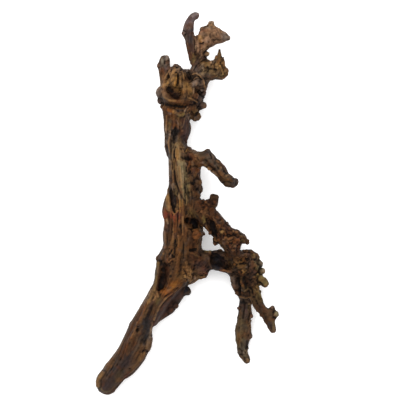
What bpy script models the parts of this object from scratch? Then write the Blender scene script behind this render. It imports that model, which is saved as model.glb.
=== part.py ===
"""Ebony wood root: one piece of driftwood, lying on three low points of its underside.

The root is about 380 mm long. +X is its right side and +Y its thin twig end, as seen from above,
and +Z is up. A heavy stump end lies at the near left. From it a ribbed trunk runs up to a burl,
which carries a short stub, a hooked twig and two ragged heads. On the right an arm stands out
half way up, and lower down two bridges leave the trunk and close round a see-through gap before
they meet in a knotted fist with a shin, a side twig and a finger stub.

Each limb is a tube through a few stations. The tubes are fused into one skin, hollows and ribs
are worked into it, and three small flats are cut where it touches the floor.
"""

import bpy
import bmesh
import numpy as np
from mathutils import Vector, noise

# Driving sizes, in millimetres
FUSE_MM = 1.25          # grain of the skin that fuses the limbs
RING_STEP_MM = 2.4      # distance between two rings of a limb
RING_POINTS = 40
ROUND_END = ((0.55, 0.83), (0.86, 0.5), (1.0, 0.15))    # rings past a limb's end: (distance, size)
SOFTEN_TIMES = 2        # passes that round the joints between limbs
TRIANGLES = 11300       # about how many triangles the finished skin keeps
FOOT_DEPTH_MM = 1.2     # how much of each low point is cut away flat
FOOT_REACH_MM = 14      # how far round a foot its low corners are looked for
FOOT_POINTS = 12        # corners of the skin that are averaged for the depth of a foot
FLUTE_DEEP = 0.08       # depth of the broad ribs along a limb, as a share of its radius
FLUTE_FINE = 0.13       # depth of the narrow ribs
GROW_MM = 0.15          # added to every limb, because softening wears it down by as much
WEATHER_MM = 0.8        # height of the shallow waves over the whole skin
THIN_MM = 5             # a limb whose half width stays under this is nearly free of ribs
WOOD_COLOUR = (0.09, 0.05, 0.028, 1)
SEED = 3                # picks one pattern of noise, the same in every build
BLUNT = ("left_stub", "elbow_stub", "arm", "finger")    # limbs that end as if broken off
MM = 0.001

# Limbs: (x, y, z, half width, half depth) of each station, in millimetres. Seen from above,
# the width is the one that shows. The list goes from the stump end up, then out to the right.
LIMBS = {
    "leg": [
        (-93, -182.2, 11.5, 12.4, 12.4), (-82.3, -170.2, 14, 12.9, 13), (-72.4, -160.1, 16, 14.1, 13.5),
        (-64.9, -147.3, 18, 14.6, 14), (-61.3, -135.6, 20, 13.4, 14), (-57.8, -123.6, 22, 11.7, 13.5),
        (-51, -111.7, 24, 11.7, 14), (-42.5, -100, 25, 11.8, 15), (-34, -88, 26, 13, 16),
        (-27.6, -75, 27, 17.5, 18), (-23, -62, 28, 20, 19), (-18, -48, 28, 18, 19),
        (-17.3, -36, 28, 19.5, 19), (-17.2, -24, 28, 19.3, 18.5), (-18.8, -11, 28, 18.9, 18),
        (-17, 1, 28, 17.1, 17), (-14.4, 12, 28, 17, 17), (-15.5, 25, 28, 16, 16.5),
        (-16.2, 36, 28, 15.6, 16), (-21.2, 48, 27, 12.3, 14), (-25.3, 58, 26, 11, 13),
        (-23, 70, 25, 13.4, 13.5), (-23.6, 81, 24, 13.5, 14.5), (-23.2, 92, 23, 14.9, 16),
    ],
    "burl": [
        (-23, 88, 22, 12.5, 15), (-21, 96, 21.5, 19, 20), (-20, 105, 21.4, 22, 22),
        (-19, 114, 22, 20.5, 21), (-20, 122, 22.5, 13.5, 17), (-22, 126.5, 23, 8, 11),
    ],
    "left_stub": [
        (-31, 107, 19, 9, 10), (-34.2, 118, 18, 6, 7.5), (-35.9, 127, 17.5, 5.4, 6),
        (-36.5, 134, 17, 6.1, 6), (-35.6, 143, 17, 5.3, 5),
    ],
    "stem": [
        (-8, 112, 26, 9, 11), (-0.5, 121, 28, 8, 10), (0, 130, 30, 8, 9),
        (-0.7, 138, 32, 8.5, 9), (-0.7, 145, 33, 7, 7.5),
    ],
    "horn": [
        (-3, 132, 33, 5.6, 6), (-5, 142, 36, 6.2, 6), (-7.6, 152, 39, 5.9, 5.5),
        (-9.6, 160, 42, 5.3, 5), (-11.3, 167, 45, 5.9, 5), (-11, 173, 48, 5.5, 4.8),
        (-9, 178.2, 51, 4.9, 4.4), (-6, 182.2, 53, 4.6, 4), (-2.8, 184.2, 54, 4, 3.6),
    ],
    "upper_head": [
        (-0.5, 144, 35, 6, 7), (1.8, 154, 36, 7.6, 8), (7.8, 162.6, 36, 10.8, 8.5),
        (13.2, 164, 34, 9.7, 7.5), (19, 163.9, 32, 8, 6.5), (24.6, 163.4, 30, 6.2, 5.2),
        (28, 162.4, 29, 4, 3.4),
    ],
    "lower_head": [
        (-1, 130, 32, 8, 9), (7, 130, 35, 10, 9.5), (14, 130.3, 39, 9.3, 9),
        (19, 128.6, 42, 8.4, 7.5), (24.2, 127.8, 44, 5.8, 5),
    ],
    "spike_a": [
        (18, 134, 42, 4.2, 4.6), (19, 141, 46, 3, 3.2), (20.3, 147, 49, 2.5, 2.4),
        (20.4, 151.4, 51, 2, 1.8),
    ],
    "spike_b": [
        (22.4, 134, 42, 3.2, 3.4), (23.8, 139.5, 46, 2.2, 2.3), (24, 143.6, 48, 1.8, 1.7),
    ],
    "arm": [
        (-16, 42, 32, 9, 11), (-7, 42.4, 38, 6.4, 9), (1, 41.2, 45, 7, 7.5),
        (7.5, 40.8, 50, 7.7, 7.5), (14.2, 35.5, 51, 7.2, 7.5), (20.4, 28.7, 49, 6.6, 7),
        (26.3, 21.9, 44, 5.9, 6.3), (31.2, 18.2, 39, 5.6, 5.5), (35.4, 17.4, 35, 5.8, 5),
    ],
    "elbow_stub": [
        (4, -10, 35, 7, 9), (9.3, -5.8, 42, 6.1, 7), (13.7, -2, 47, 5.4, 5.5),
        (15, 3.2, 53, 4.9, 4.6),
    ],
    "upper_bridge": [
        (-7, -6, 33, 12, 13), (4, -12.8, 39, 11, 12), (12.5, -20.3, 43, 11.1, 11),
        (20.6, -30.8, 43.5, 10.8, 10.5), (28.4, -39.5, 41, 10.3, 10.5), (32.4, -49, 36, 7.6, 10),
        (37, -60, 29, 9, 11),
    ],
    "spur": [
        (32, -37, 40, 7.8, 8), (38.5, -37.6, 40, 7.2, 7), (43.8, -39.6, 39, 5, 4.4),
        (47.6, -41.6, 38.5, 3.3, 2.8),
    ],
    "lower_bridge": [
        (-14, -66, 25, 13, 14), (-1, -63, 23, 13, 13), (9, -59.8, 21.5, 9.5, 13),
        (19.5, -60, 20.5, 10.8, 14), (30, -62.6, 21, 10.4, 14), (42, -65, 21, 12, 15),
    ],
    "fist": [
        (36, -61, 21, 10, 14), (46, -62, 20, 11.6, 17), (50, -70, 18.5, 12.6, 17.5),
        (46.6, -80.5, 17.7, 13.6, 18.5), (45, -88.6, 16, 9.8, 15),
    ],
    "finger": [
        (52, -70, 26, 7, 8), (59.6, -78.9, 31, 4.9, 6), (64, -83.2, 34, 4.6, 4.6),
        (66, -85.3, 35, 3.9, 3.6),
    ],
    "shin": [
        (41.3, -72, 17, 11.8, 15), (43.5, -83, 15.5, 12.2, 14), (45.4, -94.4, 13, 6.6, 9),
        (45, -103.6, 11, 6, 7), (44.5, -114, 9.5, 6.5, 7), (42.9, -125, 8.5, 7.9, 7),
        (42.7, -134.6, 7.8, 8.4, 6.5), (42, -143, 7.5, 6.5, 6), (42.2, -150, 7, 5, 5),
        (43, -154, 6.7, 5.2, 4.8),
    ],
    "toe": [
        (42.2, -153, 7, 4.2, 4.6), (45.4, -157.2, 6.5, 4.4, 4.2), (47, -160.2, 6, 4.2, 3.8),
    ],
    "side_twig": [
        (50, -83, 22, 8, 9), (54.6, -93, 25, 5.7, 7), (57.3, -101.6, 28, 5.1, 6),
        (62.7, -110.3, 31, 5.4, 6), (68.2, -117.2, 34, 5.4, 5.6), (71.1, -124, 37, 4.2, 4.5),
        (73, -130.2, 39, 3.8, 3.4),
    ],
    "fin": [
        (-20, -88.6, 19, 6.4, 9), (-24.8, -96.2, 17, 7, 8), (-29.3, -104, 15.5, 6.9, 7),
        (-35.5, -111, 14.5, 6.2, 6.5), (-42.5, -118, 14.5, 4.4, 6), (-47, -125.5, 15, 2, 4),
    ],
    "black_nub": [
        (-20, -88, 22, 5, 6), (-13.6, -90.6, 20, 4.1, 4), (-11.4, -92, 19, 3.4, 3),
    ],
    "hip": [
        (-12, -68, 25, 13, 13), (-3, -69, 24, 9.5, 10), (1, -73, 23, 6.5, 7),
    ],
    "hip_low": [
        (-14, -72, 24, 12, 12), (-9, -75, 23, 8.5, 9),
    ],
}

# Knobs: (x, y, z, radius), each sunk into the limb that carries it.
KNOBS = [
    # left stub and horn
    (-37.8, 141.6, 17, 3.7), (-33.8, 142.6, 18, 3.8), (-41, 134.8, 17, 3.5), (-15.8, 166.4, 46, 3.3),
    # upper head
    (12, 177.6, 36, 3.8), (5.6, 170.8, 36, 5), (11, 173.7, 33, 4), (16, 169, 32, 4),
    (26.2, 164, 30, 4.2), (21.5, 158.2, 30, 3), (6.6, 145.4, 36, 3.2), (5.4, 143.6, 36, 3),
    # lower head
    (17.5, 126.5, 40, 6), (9.5, 125, 34, 6), (4, 120, 31, 6), (26, 128.4, 43, 3.8), (22, 124, 42, 4.2),
    # burl, from its top round its right side to its left bulge
    (-23.4, 134, 27, 4.3), (-18, 131, 27, 3.7), (-27.6, 130.2, 25, 4.7), (-12.2, 127.8, 28, 4.1),
    (5.2, 114, 30, 3.6), (2.2, 105.4, 28, 4.5), (2.6, 94.6, 24, 4.6), (-2.4, 99, 25, 3.4), (-6, 88, 25, 5),
    (-2.6, 88.4, 24, 3.6), (-3, 85, 24, 3.6), (-4.4, 81.4, 23, 3.8), (-8.8, 86.6, 23, 4.2),
    (-37, 107, 23, 7.8), (-37.4, 101.5, 23, 6.2),
    # arm, elbow stub and the right side of the trunk
    (8.8, 48.6, 50, 3.5), (-12.5, 50.3, 34, 4), (-8, 47, 38, 4.5), (-5, 31, 37, 5), (-1.5, 28, 31, 3),
    (-4, 20, 38, 5.5), (1, 12, 32, 2.8), (-5.5, 10, 39, 5.5), (-7, 0, 40, 5), (14, -4.4, 42, 3.8),
    (1.5, -34.5, 33, 2.8), (-42, -57.8, 30, 2.7), (-41.3, -63, 29, 2),
    # upper bridge and fist
    (26.6, -24.2, 42, 3.8), (37, -34, 41, 4.8), (16, -41.2, 33, 4.4), (13.5, -39.5, 33, 1.8),
    (46.8, -54.4, 28, 4), (53.4, -57.4, 29, 4.6), (59.8, -63, 29, 3.5), (61.4, -70, 29, 3.6),
    # side twig, with the web that joins it to the shin, and the shin
    (60.7, -91.5, 24, 1.6), (72.8, -107, 34, 3.5), (76, -113.8, 35, 4.2), (69, -113, 34, 5),
    (73, -116, 35, 4.2), (51.6, -101, 20, 3.8), (38.6, -107.4, 12, 2.7), (51.2, -115.2, 10, 3),
    (49.6, -124, 9, 2.2), (50, -135.6, 9, 3.1), (46.6, -148, 8, 2.8), (39.4, -152.6, 7, 3.2),
]

# Warts: (x, y, radius), each half sunk into the upper skin wherever it lies.
WARTS = [
    # burl
    (-1, 112, 3.5), (-1.5, 101.5, 3.4), (-6, 104.5, 3.8), (-3, 94, 3.4), (2, 118, 3), (-9, 111, 3),
    (4, 109, 3), (-22, 129, 3), (-29, 126, 3), (-36, 92, 3), (-6, 89, 3.4), (-40, 108, 3.4),
    # heads
    (9, 169, 3.2), (16, 169, 3), (2, 160, 3), (20, 165, 2.6), (11, 158, 2.8), (1, 150, 2.6),
    (5, 136, 3), (12, 135, 3.2), (10, 126, 3), (18, 133, 2.6), (16, 124.5, 2.8), (2, 127, 3),
    # right side of the trunk
    (-10, 33, 3.2), (-7, 24, 3.8), (-9, 14, 3.2), (-3, -3, 3.6), (-1, 35, 3), (-4, 6, 3.4),
    (-11, 48, 3.2), (1, 17, 2.6), (-8, -8, 3.2), (2, -12, 3), (9, -14, 3), (-2, -33, 4), (-9, -39, 3),
    (-28, -54, 3), (-31, -60, 2.6), (-26, -61, 2.4), (1, -44, 2.8), (-2, -56, 3), (4, -63, 3),
    # bridges and fist
    (22, -28, 3.2), (24, -37, 3.8), (31, -33, 4), (35, -40, 3.8), (27, -44, 3.6),
    (33, -48, 3.6), (40, -37, 3), (44, -57, 4.6), (51, -61, 4.4), (42, -66, 4),
    (56, -66, 4), (49, -71, 4.2), (55, -75, 3.6), (43, -77, 3.4), (50, -84, 3.2), (36, -68, 3.4),
    (37, -56, 3.6), (57, -59, 3.2), (34, -80, 2.6), (42, -90, 2.6),
    # arm, shin and twigs
    (9, 44, 2.8), (16, 33, 2.4), (24, 24, 2.2), (32, 18, 2.6), (47, -112, 2), (41, -120, 2),
    (46, -130, 2.2), (42, -140, 2), (45, -151, 2), (57, -97, 2.2), (64, -108, 2.2), (70, -119, 2.2),
    (-9, 158, 1.8), (-11, 170, 2), (-36, 132, 2.2), (-20, -92, 2.4), (-30, -104, 2.2),
]

# Hollows and grooves of the upper side: (points, radius, depth). A negative depth is a rib.
UPPER_FORMS = [
    # Burl: deep eye, gaps between its rays, crevice below it
    ([(-30, 110), (-23, 107)], 6.5, 7.5),
    ([(-12, 126), (-9, 121)], 4, 6),
    ([(-2.5, 111), (-2, 106)], 4, 4),
    ([(-33, 96.5), (-25, 94.5), (-15, 94), (-2, 96)], 2.5, 4),
    ([(-29, 123), (-30, 116)], 2.2, 2.5),
    ([(-21, 127), (-21.5, 117)], 2.2, 2.5),
    # Burl: rays, pale knob, lip and collar
    ([(-24.5, 130), (-25.5, 122), (-27, 115)], 3, -3.5),
    ([(-33, 119), (-37, 113), (-37, 106)], 3.2, -3),
    ([(-17, 127), (-18, 117)], 2.8, -2.5),
    ([(-5.5, 116)], 5, -3.5),
    ([(-8, 122), (0, 118), (4, 114)], 2, -2),
    ([(-34, 102), (-25, 98.5), (-12, 98.5), (-6, 101)], 4, -1.5),
    ([(-29, 88), (-13, 87)], 4, -2),
    # Upper trunk: hollow, thin ribs at the left, long pale strip with a seam in it
    ([(-24, 67), (-18, 59)], 5.5, 3.5),
    ([(-31.5, 70), (-30, 52)], 2, -2),
    ([(-22, 58), (-18, 40), (-19, 20), (-20, 4)], 6, -2.5),
    ([(-25.5, 36), (-23.5, 20), (-22, 6)], 1.8, 2),
    ([(-12.5, 56), (-13, 40), (-12, 20), (-12, 4)], 2.8, 3),
    ([(-17, 42), (-8, 41)], 2.8, 3),
    ([(-9, 26.5)], 2.8, 3),
    ([(-6.5, 16.5)], 2.8, 3),
    # Waist: slot, double eye, knob, pit
    ([(-27, 10), (-26, -1), (-24.5, -10)], 3, 5.5),
    ([(-31, 6), (-31, -10)], 2.2, -1.5),
    ([(-12.5, -20.5), (-7.5, -22), (-5.5, -26)], 3.7, 9),
    ([(-3, -35)], 6, -3),
    ([(-6, -49)], 3.4, 3.5),
    ([(-31, -16), (-31, -40)], 2.2, 2),
    ([(-26, -22), (-25, -50), (-29, -70)], 2.4, 2.8),
    ([(-18, -24), (-17, -50), (-20, -74)], 2.4, 2.8),
    ([(-11.5, -32), (-11, -56)], 2.2, 2.4),
    # Right branch and bridges
    ([(10, -22), (13, -29), (16, -35)], 4.6, 9),
    ([(20, -30), (22, -33)], 3, -2),
    ([(14.5, -58), (20, -61), (26, -65)], 5.6, 10),
    ([(-2, -64), (6, -66)], 3.5, 2.5),
    # Fist
    ([(34.5, -73)], 3.6, 3.5),
    ([(38.5, -78), (39.5, -90)], 2.8, 5.5),
    ([(45, -78), (48, -90)], 3.2, 4),
    ([(40, -69), (45, -73)], 3.5, -2.5),
    ([(40, -96), (46, -99), (52, -97)], 2.6, -2.5),
    ([(41, -102), (49, -102)], 2.6, 2),
    # Leg: hollow at the hip, crests, valleys, worm holes
    ([(-36.5, -62), (-35.5, -74), (-37, -86)], 5.4, 8.5),
    ([(-46, -90), (-52, -102), (-62, -122), (-70, -140)], 3.6, -2.5),
    ([(-27, -96), (-38, -113), (-48, -130)], 3, -3),
    ([(-26, -100), (-34, -108), (-43, -120)], 2.4, 2.5),
    ([(-50, -106), (-55, -124), (-57, -140)], 4.2, 3.2),
    ([(-70, -158), (-82, -172), (-92, -184)], 5.5, 2),
    ([(-50, -143), (-58, -160), (-72, -172)], 4, -2.4),
    ([(-57, -106), (-68, -130), (-80, -152), (-93, -168)], 2.2, 2),
    ([(-62, -140), (-72, -156), (-86, -172)], 2.6, -2.2),
    ([(-38, -92), (-46, -106), (-50, -114)], 2.2, 2.4),
    ([(-61.5, -128.5)], 2.4, 3),
    ([(-56.5, -151.5), (-53, -151)], 2.2, 3),
    ([(-87, -161)], 2.2, 2.4),
    ([(-70.5, -169.5)], 2.2, 2.4),
    # Heads and arm
    ([(-2, 152), (-1, 140)], 2, 2.5),
    ([(10, 160), (18, 161)], 2.5, 2.2),
    ([(9, 132), (15, 128)], 2.6, 2.4),
    ([(4, 136), (12, 136)], 2, -1.5),
    ([(11, 41), (20, 29), (29, 20)], 2, -1.6),
    ([(6, 39), (15, 30), (24, 20.5)], 1.8, 1.8),
]

# The same for the underside, which has long hollows and a few ribs of its own.
LOWER_FORMS = [
    ([(-24, 78), (-20, 56), (-17, 30)], 6, 4.5),
    ([(-10, 30), (-9, 8)], 4, 3),
    ([(-22, 4), (-24, -22), (-16, -44)], 7, 5),
    ([(-30, -56), (-36, -78), (-46, -98)], 5, 4),
    ([(-54, -108), (-63, -134), (-76, -156)], 5, 3.5),
    ([(-10, -58), (8, -62), (26, -62)], 4.5, 4),
    ([(8, -18), (22, -32)], 4, 3.5),
    ([(-34, 112), (-30, 122)], 4, 3),
    ([(-4, 118), (-2, 132)], 4, 3),
    ([(-30, 64), (-27, 40)], 3, -2),
    ([(-12, -10), (-10, -40)], 3.5, -2.5),
    ([(5, 38), (22, 22)], 2.5, 2),
]

# Knotted places: (x, y, radius, height of the knots).
KNOTTED = [
    (2, 104, 14, 4.5), (-18, 124, 12, 3), (-2, 87, 9, 4), (-38, 103, 9, 2), (-6, 34, 11, 3.6),
    (-4, 12, 11, 3.6), (-28, -58, 10, 2.4), (-2, -40, 11, 3), (22, -34, 13, 4.5), (36, -40, 15, 5),
    (52, -58, 16, 5.5), (54, -76, 15, 4.5), (44, -92, 12, 2.5), (12, 165, 16, 3.6),
    (15, 130, 15, 3.8), (2, 122, 11, 4), (14, -2, 9, 2), (44, -128, 16, 1.6), (0, -68, 14, 2.6),
    (22, 30, 20, 1.6), (8, -16, 12, 2.6), (-12, -18, 9, 2),
]
KNOT_SIZE_MM = 7.5

# Where the root touches the floor: under the stump end, under the burl and under the fist.
FEET = [(-91, -181), (-21, 104), (46, -80)]


# Helpers
def smoothstep(t):
    t = np.clip(t, 0.0, 1.0)
    return t * t * (3 - 2 * t)


def spline(stations, step):
    """Points every step millimetres or so along a smooth curve through the stations."""
    rows = np.array(stations, float)
    rows = np.vstack([2 * rows[0] - rows[1], rows, 2 * rows[-1] - rows[-2]])
    out = []
    for a, b, c, d in zip(rows, rows[1:], rows[2:], rows[3:]):
        count = max(2, int(round(np.linalg.norm(c[:3] - b[:3]) / step)))
        bend = 2 * a - 5 * b + 4 * c - d
        twist = 3 * b - a - 3 * c + d
        for t in np.arange(count) / count:
            out.append(b + 0.5 * ((c - a) * t + bend * t**2 + twist * t**3))
    out.append(rows[-2])
    return np.array(out)


def distance_to_path(points, path):
    """Distance of each point to a path of one or more corners, seen from above."""
    path = np.array(path, float)
    if len(path) == 1:
        return np.linalg.norm(points[:, :2] - path[0], axis=1)
    best = np.full(len(points), 1e9)
    for a, b in zip(path, path[1:]):
        share = np.clip((points[:, :2] - a) @ (b - a) / ((b - a) @ (b - a)), 0, 1)
        near = np.linalg.norm(points[:, :2] - a - share[:, None] * (b - a), axis=1)
        best = np.minimum(best, near)
    return best


def ribs(angle, along, seed):
    """How far the limb swells or sinks at this angle, as a share of its radius."""
    broad = Vector((1.1 * np.cos(angle) + 9 * seed, 1.1 * np.sin(angle), along / 55))
    fine = Vector((2.4 * np.cos(angle) - 7 * seed, 2.4 * np.sin(angle), along / 80))
    sharp = (0.6 - 2.2 * abs(noise.noise(fine))) * (0.3 + 0.7 * abs(np.sin(angle)))
    return 1 + FLUTE_DEEP * noise.noise(broad) * 1.6 + FLUTE_FINE * sharp


def limb(stations, seed, rough, tip):
    """Corners and faces of one closed tube with ribbed sides and rounded ends."""
    rows = spline(stations, RING_STEP_MM)
    rows[:, 3:] += GROW_MM
    centre = rows[:, :3]
    tangent = np.gradient(centre, axis=0)
    tangent /= np.linalg.norm(tangent, axis=1)[:, None]
    along = np.concatenate([[0], np.cumsum(np.linalg.norm(np.diff(centre, axis=0), axis=1))])
    rings = []
    for out, share in reversed(ROUND_END):
        rings.append((centre[0] - tangent[0] * rows[0, 3] * out, tangent[0], rows[0, 3:] * share, along[0]))
    for i in range(len(rows)):
        rings.append((centre[i], tangent[i], rows[i, 3:], along[i]))
    for out, share in ROUND_END:
        end = centre[-1] + tangent[-1] * rows[-1, 3] * out * tip
        rings.append((end, tangent[-1], rows[-1, 3:] * share ** tip, along[-1]))
    corners = []
    angles = np.arange(RING_POINTS) * 2 * np.pi / RING_POINTS
    for middle, ahead, half, where in rings:
        side = np.cross((0, 0, 1), ahead)
        side /= np.linalg.norm(side)
        up = np.cross(ahead, side)
        for angle in angles:
            swell = 1 + (ribs(angle, where, seed) - 1) * rough
            offset = side * np.cos(angle) * half[0] + up * np.sin(angle) * half[1]
            corners.append(middle + offset * swell)
    faces = []
    for ring in range(len(rings) - 1):
        for i in range(RING_POINTS):
            j = (i + 1) % RING_POINTS
            a, b = ring * RING_POINTS, (ring + 1) * RING_POINTS
            faces.append((a + i, a + j, b + j, b + i))
    last = (len(rings) - 1) * RING_POINTS
    faces.append(tuple(range(RING_POINTS - 1, -1, -1)))
    faces.append(tuple(range(last, last + RING_POINTS)))
    return np.array(corners), faces


def make_object(name, corners, faces):
    """A mesh object in the scene, from corners in millimetres."""
    mesh = bpy.data.meshes.new(name)
    mesh.from_pydata([tuple(c) for c in np.asarray(corners) * MM], [], faces)
    obj = bpy.data.objects.new(name, mesh)
    bpy.context.scene.collection.objects.link(obj)
    return obj


def apply_modifier(obj, kind, **settings):
    """Adds a modifier with these settings and applies it at once."""
    modifier = obj.modifiers.new(kind.lower(), kind)
    for key, value in settings.items():
        setattr(modifier, key, value)
    bpy.context.view_layer.objects.active = obj
    bpy.ops.object.modifier_apply(modifier=modifier.name)


def read_points(obj):
    """Where the corners of the mesh are, in millimetres."""
    points = np.empty(len(obj.data.vertices) * 3)
    obj.data.vertices.foreach_get("co", points)
    return points.reshape(-1, 3) / MM


def read_normals(obj):
    """Which way the skin faces at each corner."""
    normals = np.empty(len(obj.data.vertices) * 3)
    obj.data.vertices.foreach_get("normal", normals)
    return normals.reshape(-1, 3)


def write_points(obj, points):
    """Moves the corners of the mesh to these places, in millimetres."""
    obj.data.vertices.foreach_set("co", (points * MM).ravel())
    obj.data.update()


def keep_largest(obj):
    """Removes every loose scrap but the largest body."""
    bm = bmesh.new()
    bm.from_mesh(obj.data)
    unseen = set(bm.verts)
    bodies = []
    while unseen:
        stack = [unseen.pop()]
        body = list(stack)
        while stack:
            for edge in stack.pop().link_edges:
                for vert in edge.verts:
                    if vert in unseen:
                        unseen.remove(vert)
                        stack.append(vert)
                        body.append(vert)
        bodies.append(body)
    bodies.sort(key=len)
    for body in bodies[:-1]:
        bmesh.ops.delete(bm, geom=body, context="VERTS")
    bm.to_mesh(obj.data)
    bm.free()


# Shaping
def fuse_limbs():
    """All limbs and knobs as one closed skin."""
    corners, faces = [], []
    for number, (name, stations) in enumerate(LIMBS.items()):
        rough = 0.4 if max(row[3] for row in stations) < THIN_MM else 1.0
        tip = 0.45 if name in BLUNT else 1.0
        more, more_faces = limb(stations, 1 + number, rough, tip)
        faces += [tuple(len(corners) + i for i in face) for face in more_faces]
        corners += list(more)
    root = make_object("ebony_root", corners, faces)
    join_balls(root, KNOBS)
    return root


def work_forms(root):
    """Sinks the hollows and raises the ribs, on the side of the root that faces up or down."""
    points, normals = read_points(root), read_normals(root)
    sink = np.zeros(len(points))
    for forms, side in ((UPPER_FORMS, 1), (LOWER_FORMS, -1)):
        facing = smoothstep(side * normals[:, 2] * 2.5 + 0.2)
        for path, radius, depth in forms:
            near = smoothstep(1.25 - distance_to_path(points, path) / radius)
            sink -= side * depth * near * facing
    points[:, 2] += sink
    write_points(root, points)


def join_balls(root, balls):
    """Joins balls (x, y, z, radius) into the mesh of the root."""
    for x, y, z, radius in balls:
        place = (x * MM, y * MM, z * MM)
        bpy.ops.mesh.primitive_ico_sphere_add(subdivisions=2, radius=radius * MM, location=place)
        ball = bpy.context.object
        bpy.ops.object.select_all(action="DESELECT")
        ball.select_set(True)
        root.select_set(True)
        bpy.context.view_layer.objects.active = root
        bpy.ops.object.join()


def add_warts(root):
    """Sets each wart where a line straight down from above meets the skin."""
    balls = []
    for x, y, radius in WARTS:
        hit, spot, normal, face = root.ray_cast((x * MM, y * MM, 1), (0, 0, -1))
        if hit:
            balls.append((x, y, spot.z / MM - 0.35 * radius, radius))
    join_balls(root, balls)


def weather(root):
    """Shallow uneven waves all over."""
    points, normals = read_points(root), read_normals(root)
    waves = [noise.noise(Vector(point) / 11) + 0.5 * noise.noise(Vector(point) / 5) for point in points]
    write_points(root, points + normals * WEATHER_MM * np.array(waves)[:, None])


def raise_knots(root):
    """Rounded knots with creases between them, in the knotted places."""
    points, normals = read_points(root), read_normals(root)
    height = np.zeros(len(points))
    for x, y, radius, tall in KNOTTED:
        near = smoothstep(2 - 2 * distance_to_path(points, [(x, y)]) / radius)
        height = np.maximum(height, near * tall)
    for i in np.nonzero(height > 0.05)[0]:
        spot = Vector(points[i]) / KNOT_SIZE_MM
        spot += 0.35 * noise.noise_vector(spot * 0.9)
        nearest = noise.voronoi(spot)[0]
        height[i] *= 0.55 - 1.35 * nearest[0] ** 1.5
    write_points(root, points + normals * height[:, None])


def set_down(root):
    """Turns and lowers the root until its three low points are equally deep in the floor."""
    points = read_points(root)
    lows = []
    for x, y in FEET:
        near = points[distance_to_path(points, [(x, y)]) < FOOT_REACH_MM]
        lows.append(near[near[:, 2].argsort()[:FOOT_POINTS]].mean(axis=0))
    across = np.cross(lows[1] - lows[0], lows[2] - lows[0])
    across = Vector(across if across[2] > 0 else -across)
    turn = np.array(across.rotation_difference(Vector((0, 0, 1))).to_matrix())
    points = points @ turn.T
    points[:, 2] -= (turn @ lows[0])[2] + FOOT_DEPTH_MM
    write_points(root, points)


def cut_feet(root):
    """Cuts away what is below the floor and closes each cut with a flat face."""
    bm = bmesh.new()
    bm.from_mesh(root.data)
    bmesh.ops.bisect_plane(
        bm, geom=bm.verts[:] + bm.edges[:] + bm.faces[:], dist=1e-7,
        plane_co=(0, 0, 0), plane_no=(0, 0, 1), clear_inner=True,
    )
    rims = [edge for edge in bm.edges if edge.is_boundary]
    bmesh.ops.triangle_fill(bm, edges=rims, use_beauty=True, normal=(0, 0, -1))
    bmesh.ops.recalc_face_normals(bm, faces=bm.faces)
    bmesh.ops.triangulate(bm, faces=bm.faces)
    bm.to_mesh(root.data)
    bm.free()


def centre_on_floor(root):
    """Moves the root until its bounding box is centred, and returns where the centre was."""
    points = read_points(root)
    middle = (points.min(axis=0) + points.max(axis=0)) / 2
    points[:, :2] -= middle[:2]
    write_points(root, points)
    return middle


def wood_material():
    """Dark brown wood with a soft sheen."""
    material = bpy.data.materials.new("ebony_wood")
    material.use_nodes = True
    shader = material.node_tree.nodes["Principled BSDF"]
    shader.inputs["Base Color"].default_value = WOOD_COLOUR
    shader.inputs["Roughness"].default_value = 0.55
    material.diffuse_color = WOOD_COLOUR
    return material


# Build
for old in list(bpy.data.objects):
    bpy.data.objects.remove(old)
noise.seed_set(SEED)

root = fuse_limbs()
apply_modifier(root, "REMESH", mode="VOXEL", voxel_size=FUSE_MM * MM)
apply_modifier(root, "SMOOTH", factor=0.5, iterations=SOFTEN_TIMES)
work_forms(root)
add_warts(root)
apply_modifier(root, "REMESH", mode="VOXEL", voxel_size=FUSE_MM * MM)
apply_modifier(root, "SMOOTH", factor=0.4, iterations=1)
raise_knots(root)
weather(root)
apply_modifier(root, "REMESH", mode="VOXEL", voxel_size=FUSE_MM * MM)
keep_largest(root)
apply_modifier(root, "TRIANGULATE")
apply_modifier(root, "DECIMATE", ratio=TRIANGLES / len(root.data.polygons))
set_down(root)
cut_feet(root)
middle = centre_on_floor(root)
root.data.materials.append(wood_material())
root.data.shade_smooth()
print("triangles", len(root.data.polygons), "moved by", np.round(-middle[:2], 1))
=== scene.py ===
# %% [markdown]
# # A root of ebony wood, lying on a pale floor
#
# The real thing is a root from a river bed: one grown piece of dark, hard wood with a ribbed trunk, a
# knotted burl near the top, a few snapped branches, and a colour that runs from ochre on the worn ribs
# to nearly black in the cracks.
#
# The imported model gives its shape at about 3 mm detail. This lesson makes a finer skin over the same
# shape and works it the way a carver would: first the direction of the grain, then the marks of each
# part of the root, then cracks and wrinkles, and last the colour.

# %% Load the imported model
import math

import bpy
import numpy as np
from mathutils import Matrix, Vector, kdtree, noise


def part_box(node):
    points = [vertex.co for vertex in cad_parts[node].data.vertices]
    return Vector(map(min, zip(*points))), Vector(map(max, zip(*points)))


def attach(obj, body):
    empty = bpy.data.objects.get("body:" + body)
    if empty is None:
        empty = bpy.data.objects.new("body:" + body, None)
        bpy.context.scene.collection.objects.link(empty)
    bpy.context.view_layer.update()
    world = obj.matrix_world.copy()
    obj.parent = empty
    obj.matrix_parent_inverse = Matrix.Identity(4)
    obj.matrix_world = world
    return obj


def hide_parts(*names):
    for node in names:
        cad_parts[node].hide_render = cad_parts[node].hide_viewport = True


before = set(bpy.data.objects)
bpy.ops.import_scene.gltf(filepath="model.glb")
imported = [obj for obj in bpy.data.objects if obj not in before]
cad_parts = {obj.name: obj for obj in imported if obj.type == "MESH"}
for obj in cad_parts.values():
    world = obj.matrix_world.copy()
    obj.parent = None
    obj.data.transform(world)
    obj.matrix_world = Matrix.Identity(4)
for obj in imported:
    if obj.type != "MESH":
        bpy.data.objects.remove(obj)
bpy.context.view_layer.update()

MM = 0.001
low, high = (np.array(corner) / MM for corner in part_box("ebony_root"))
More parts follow.
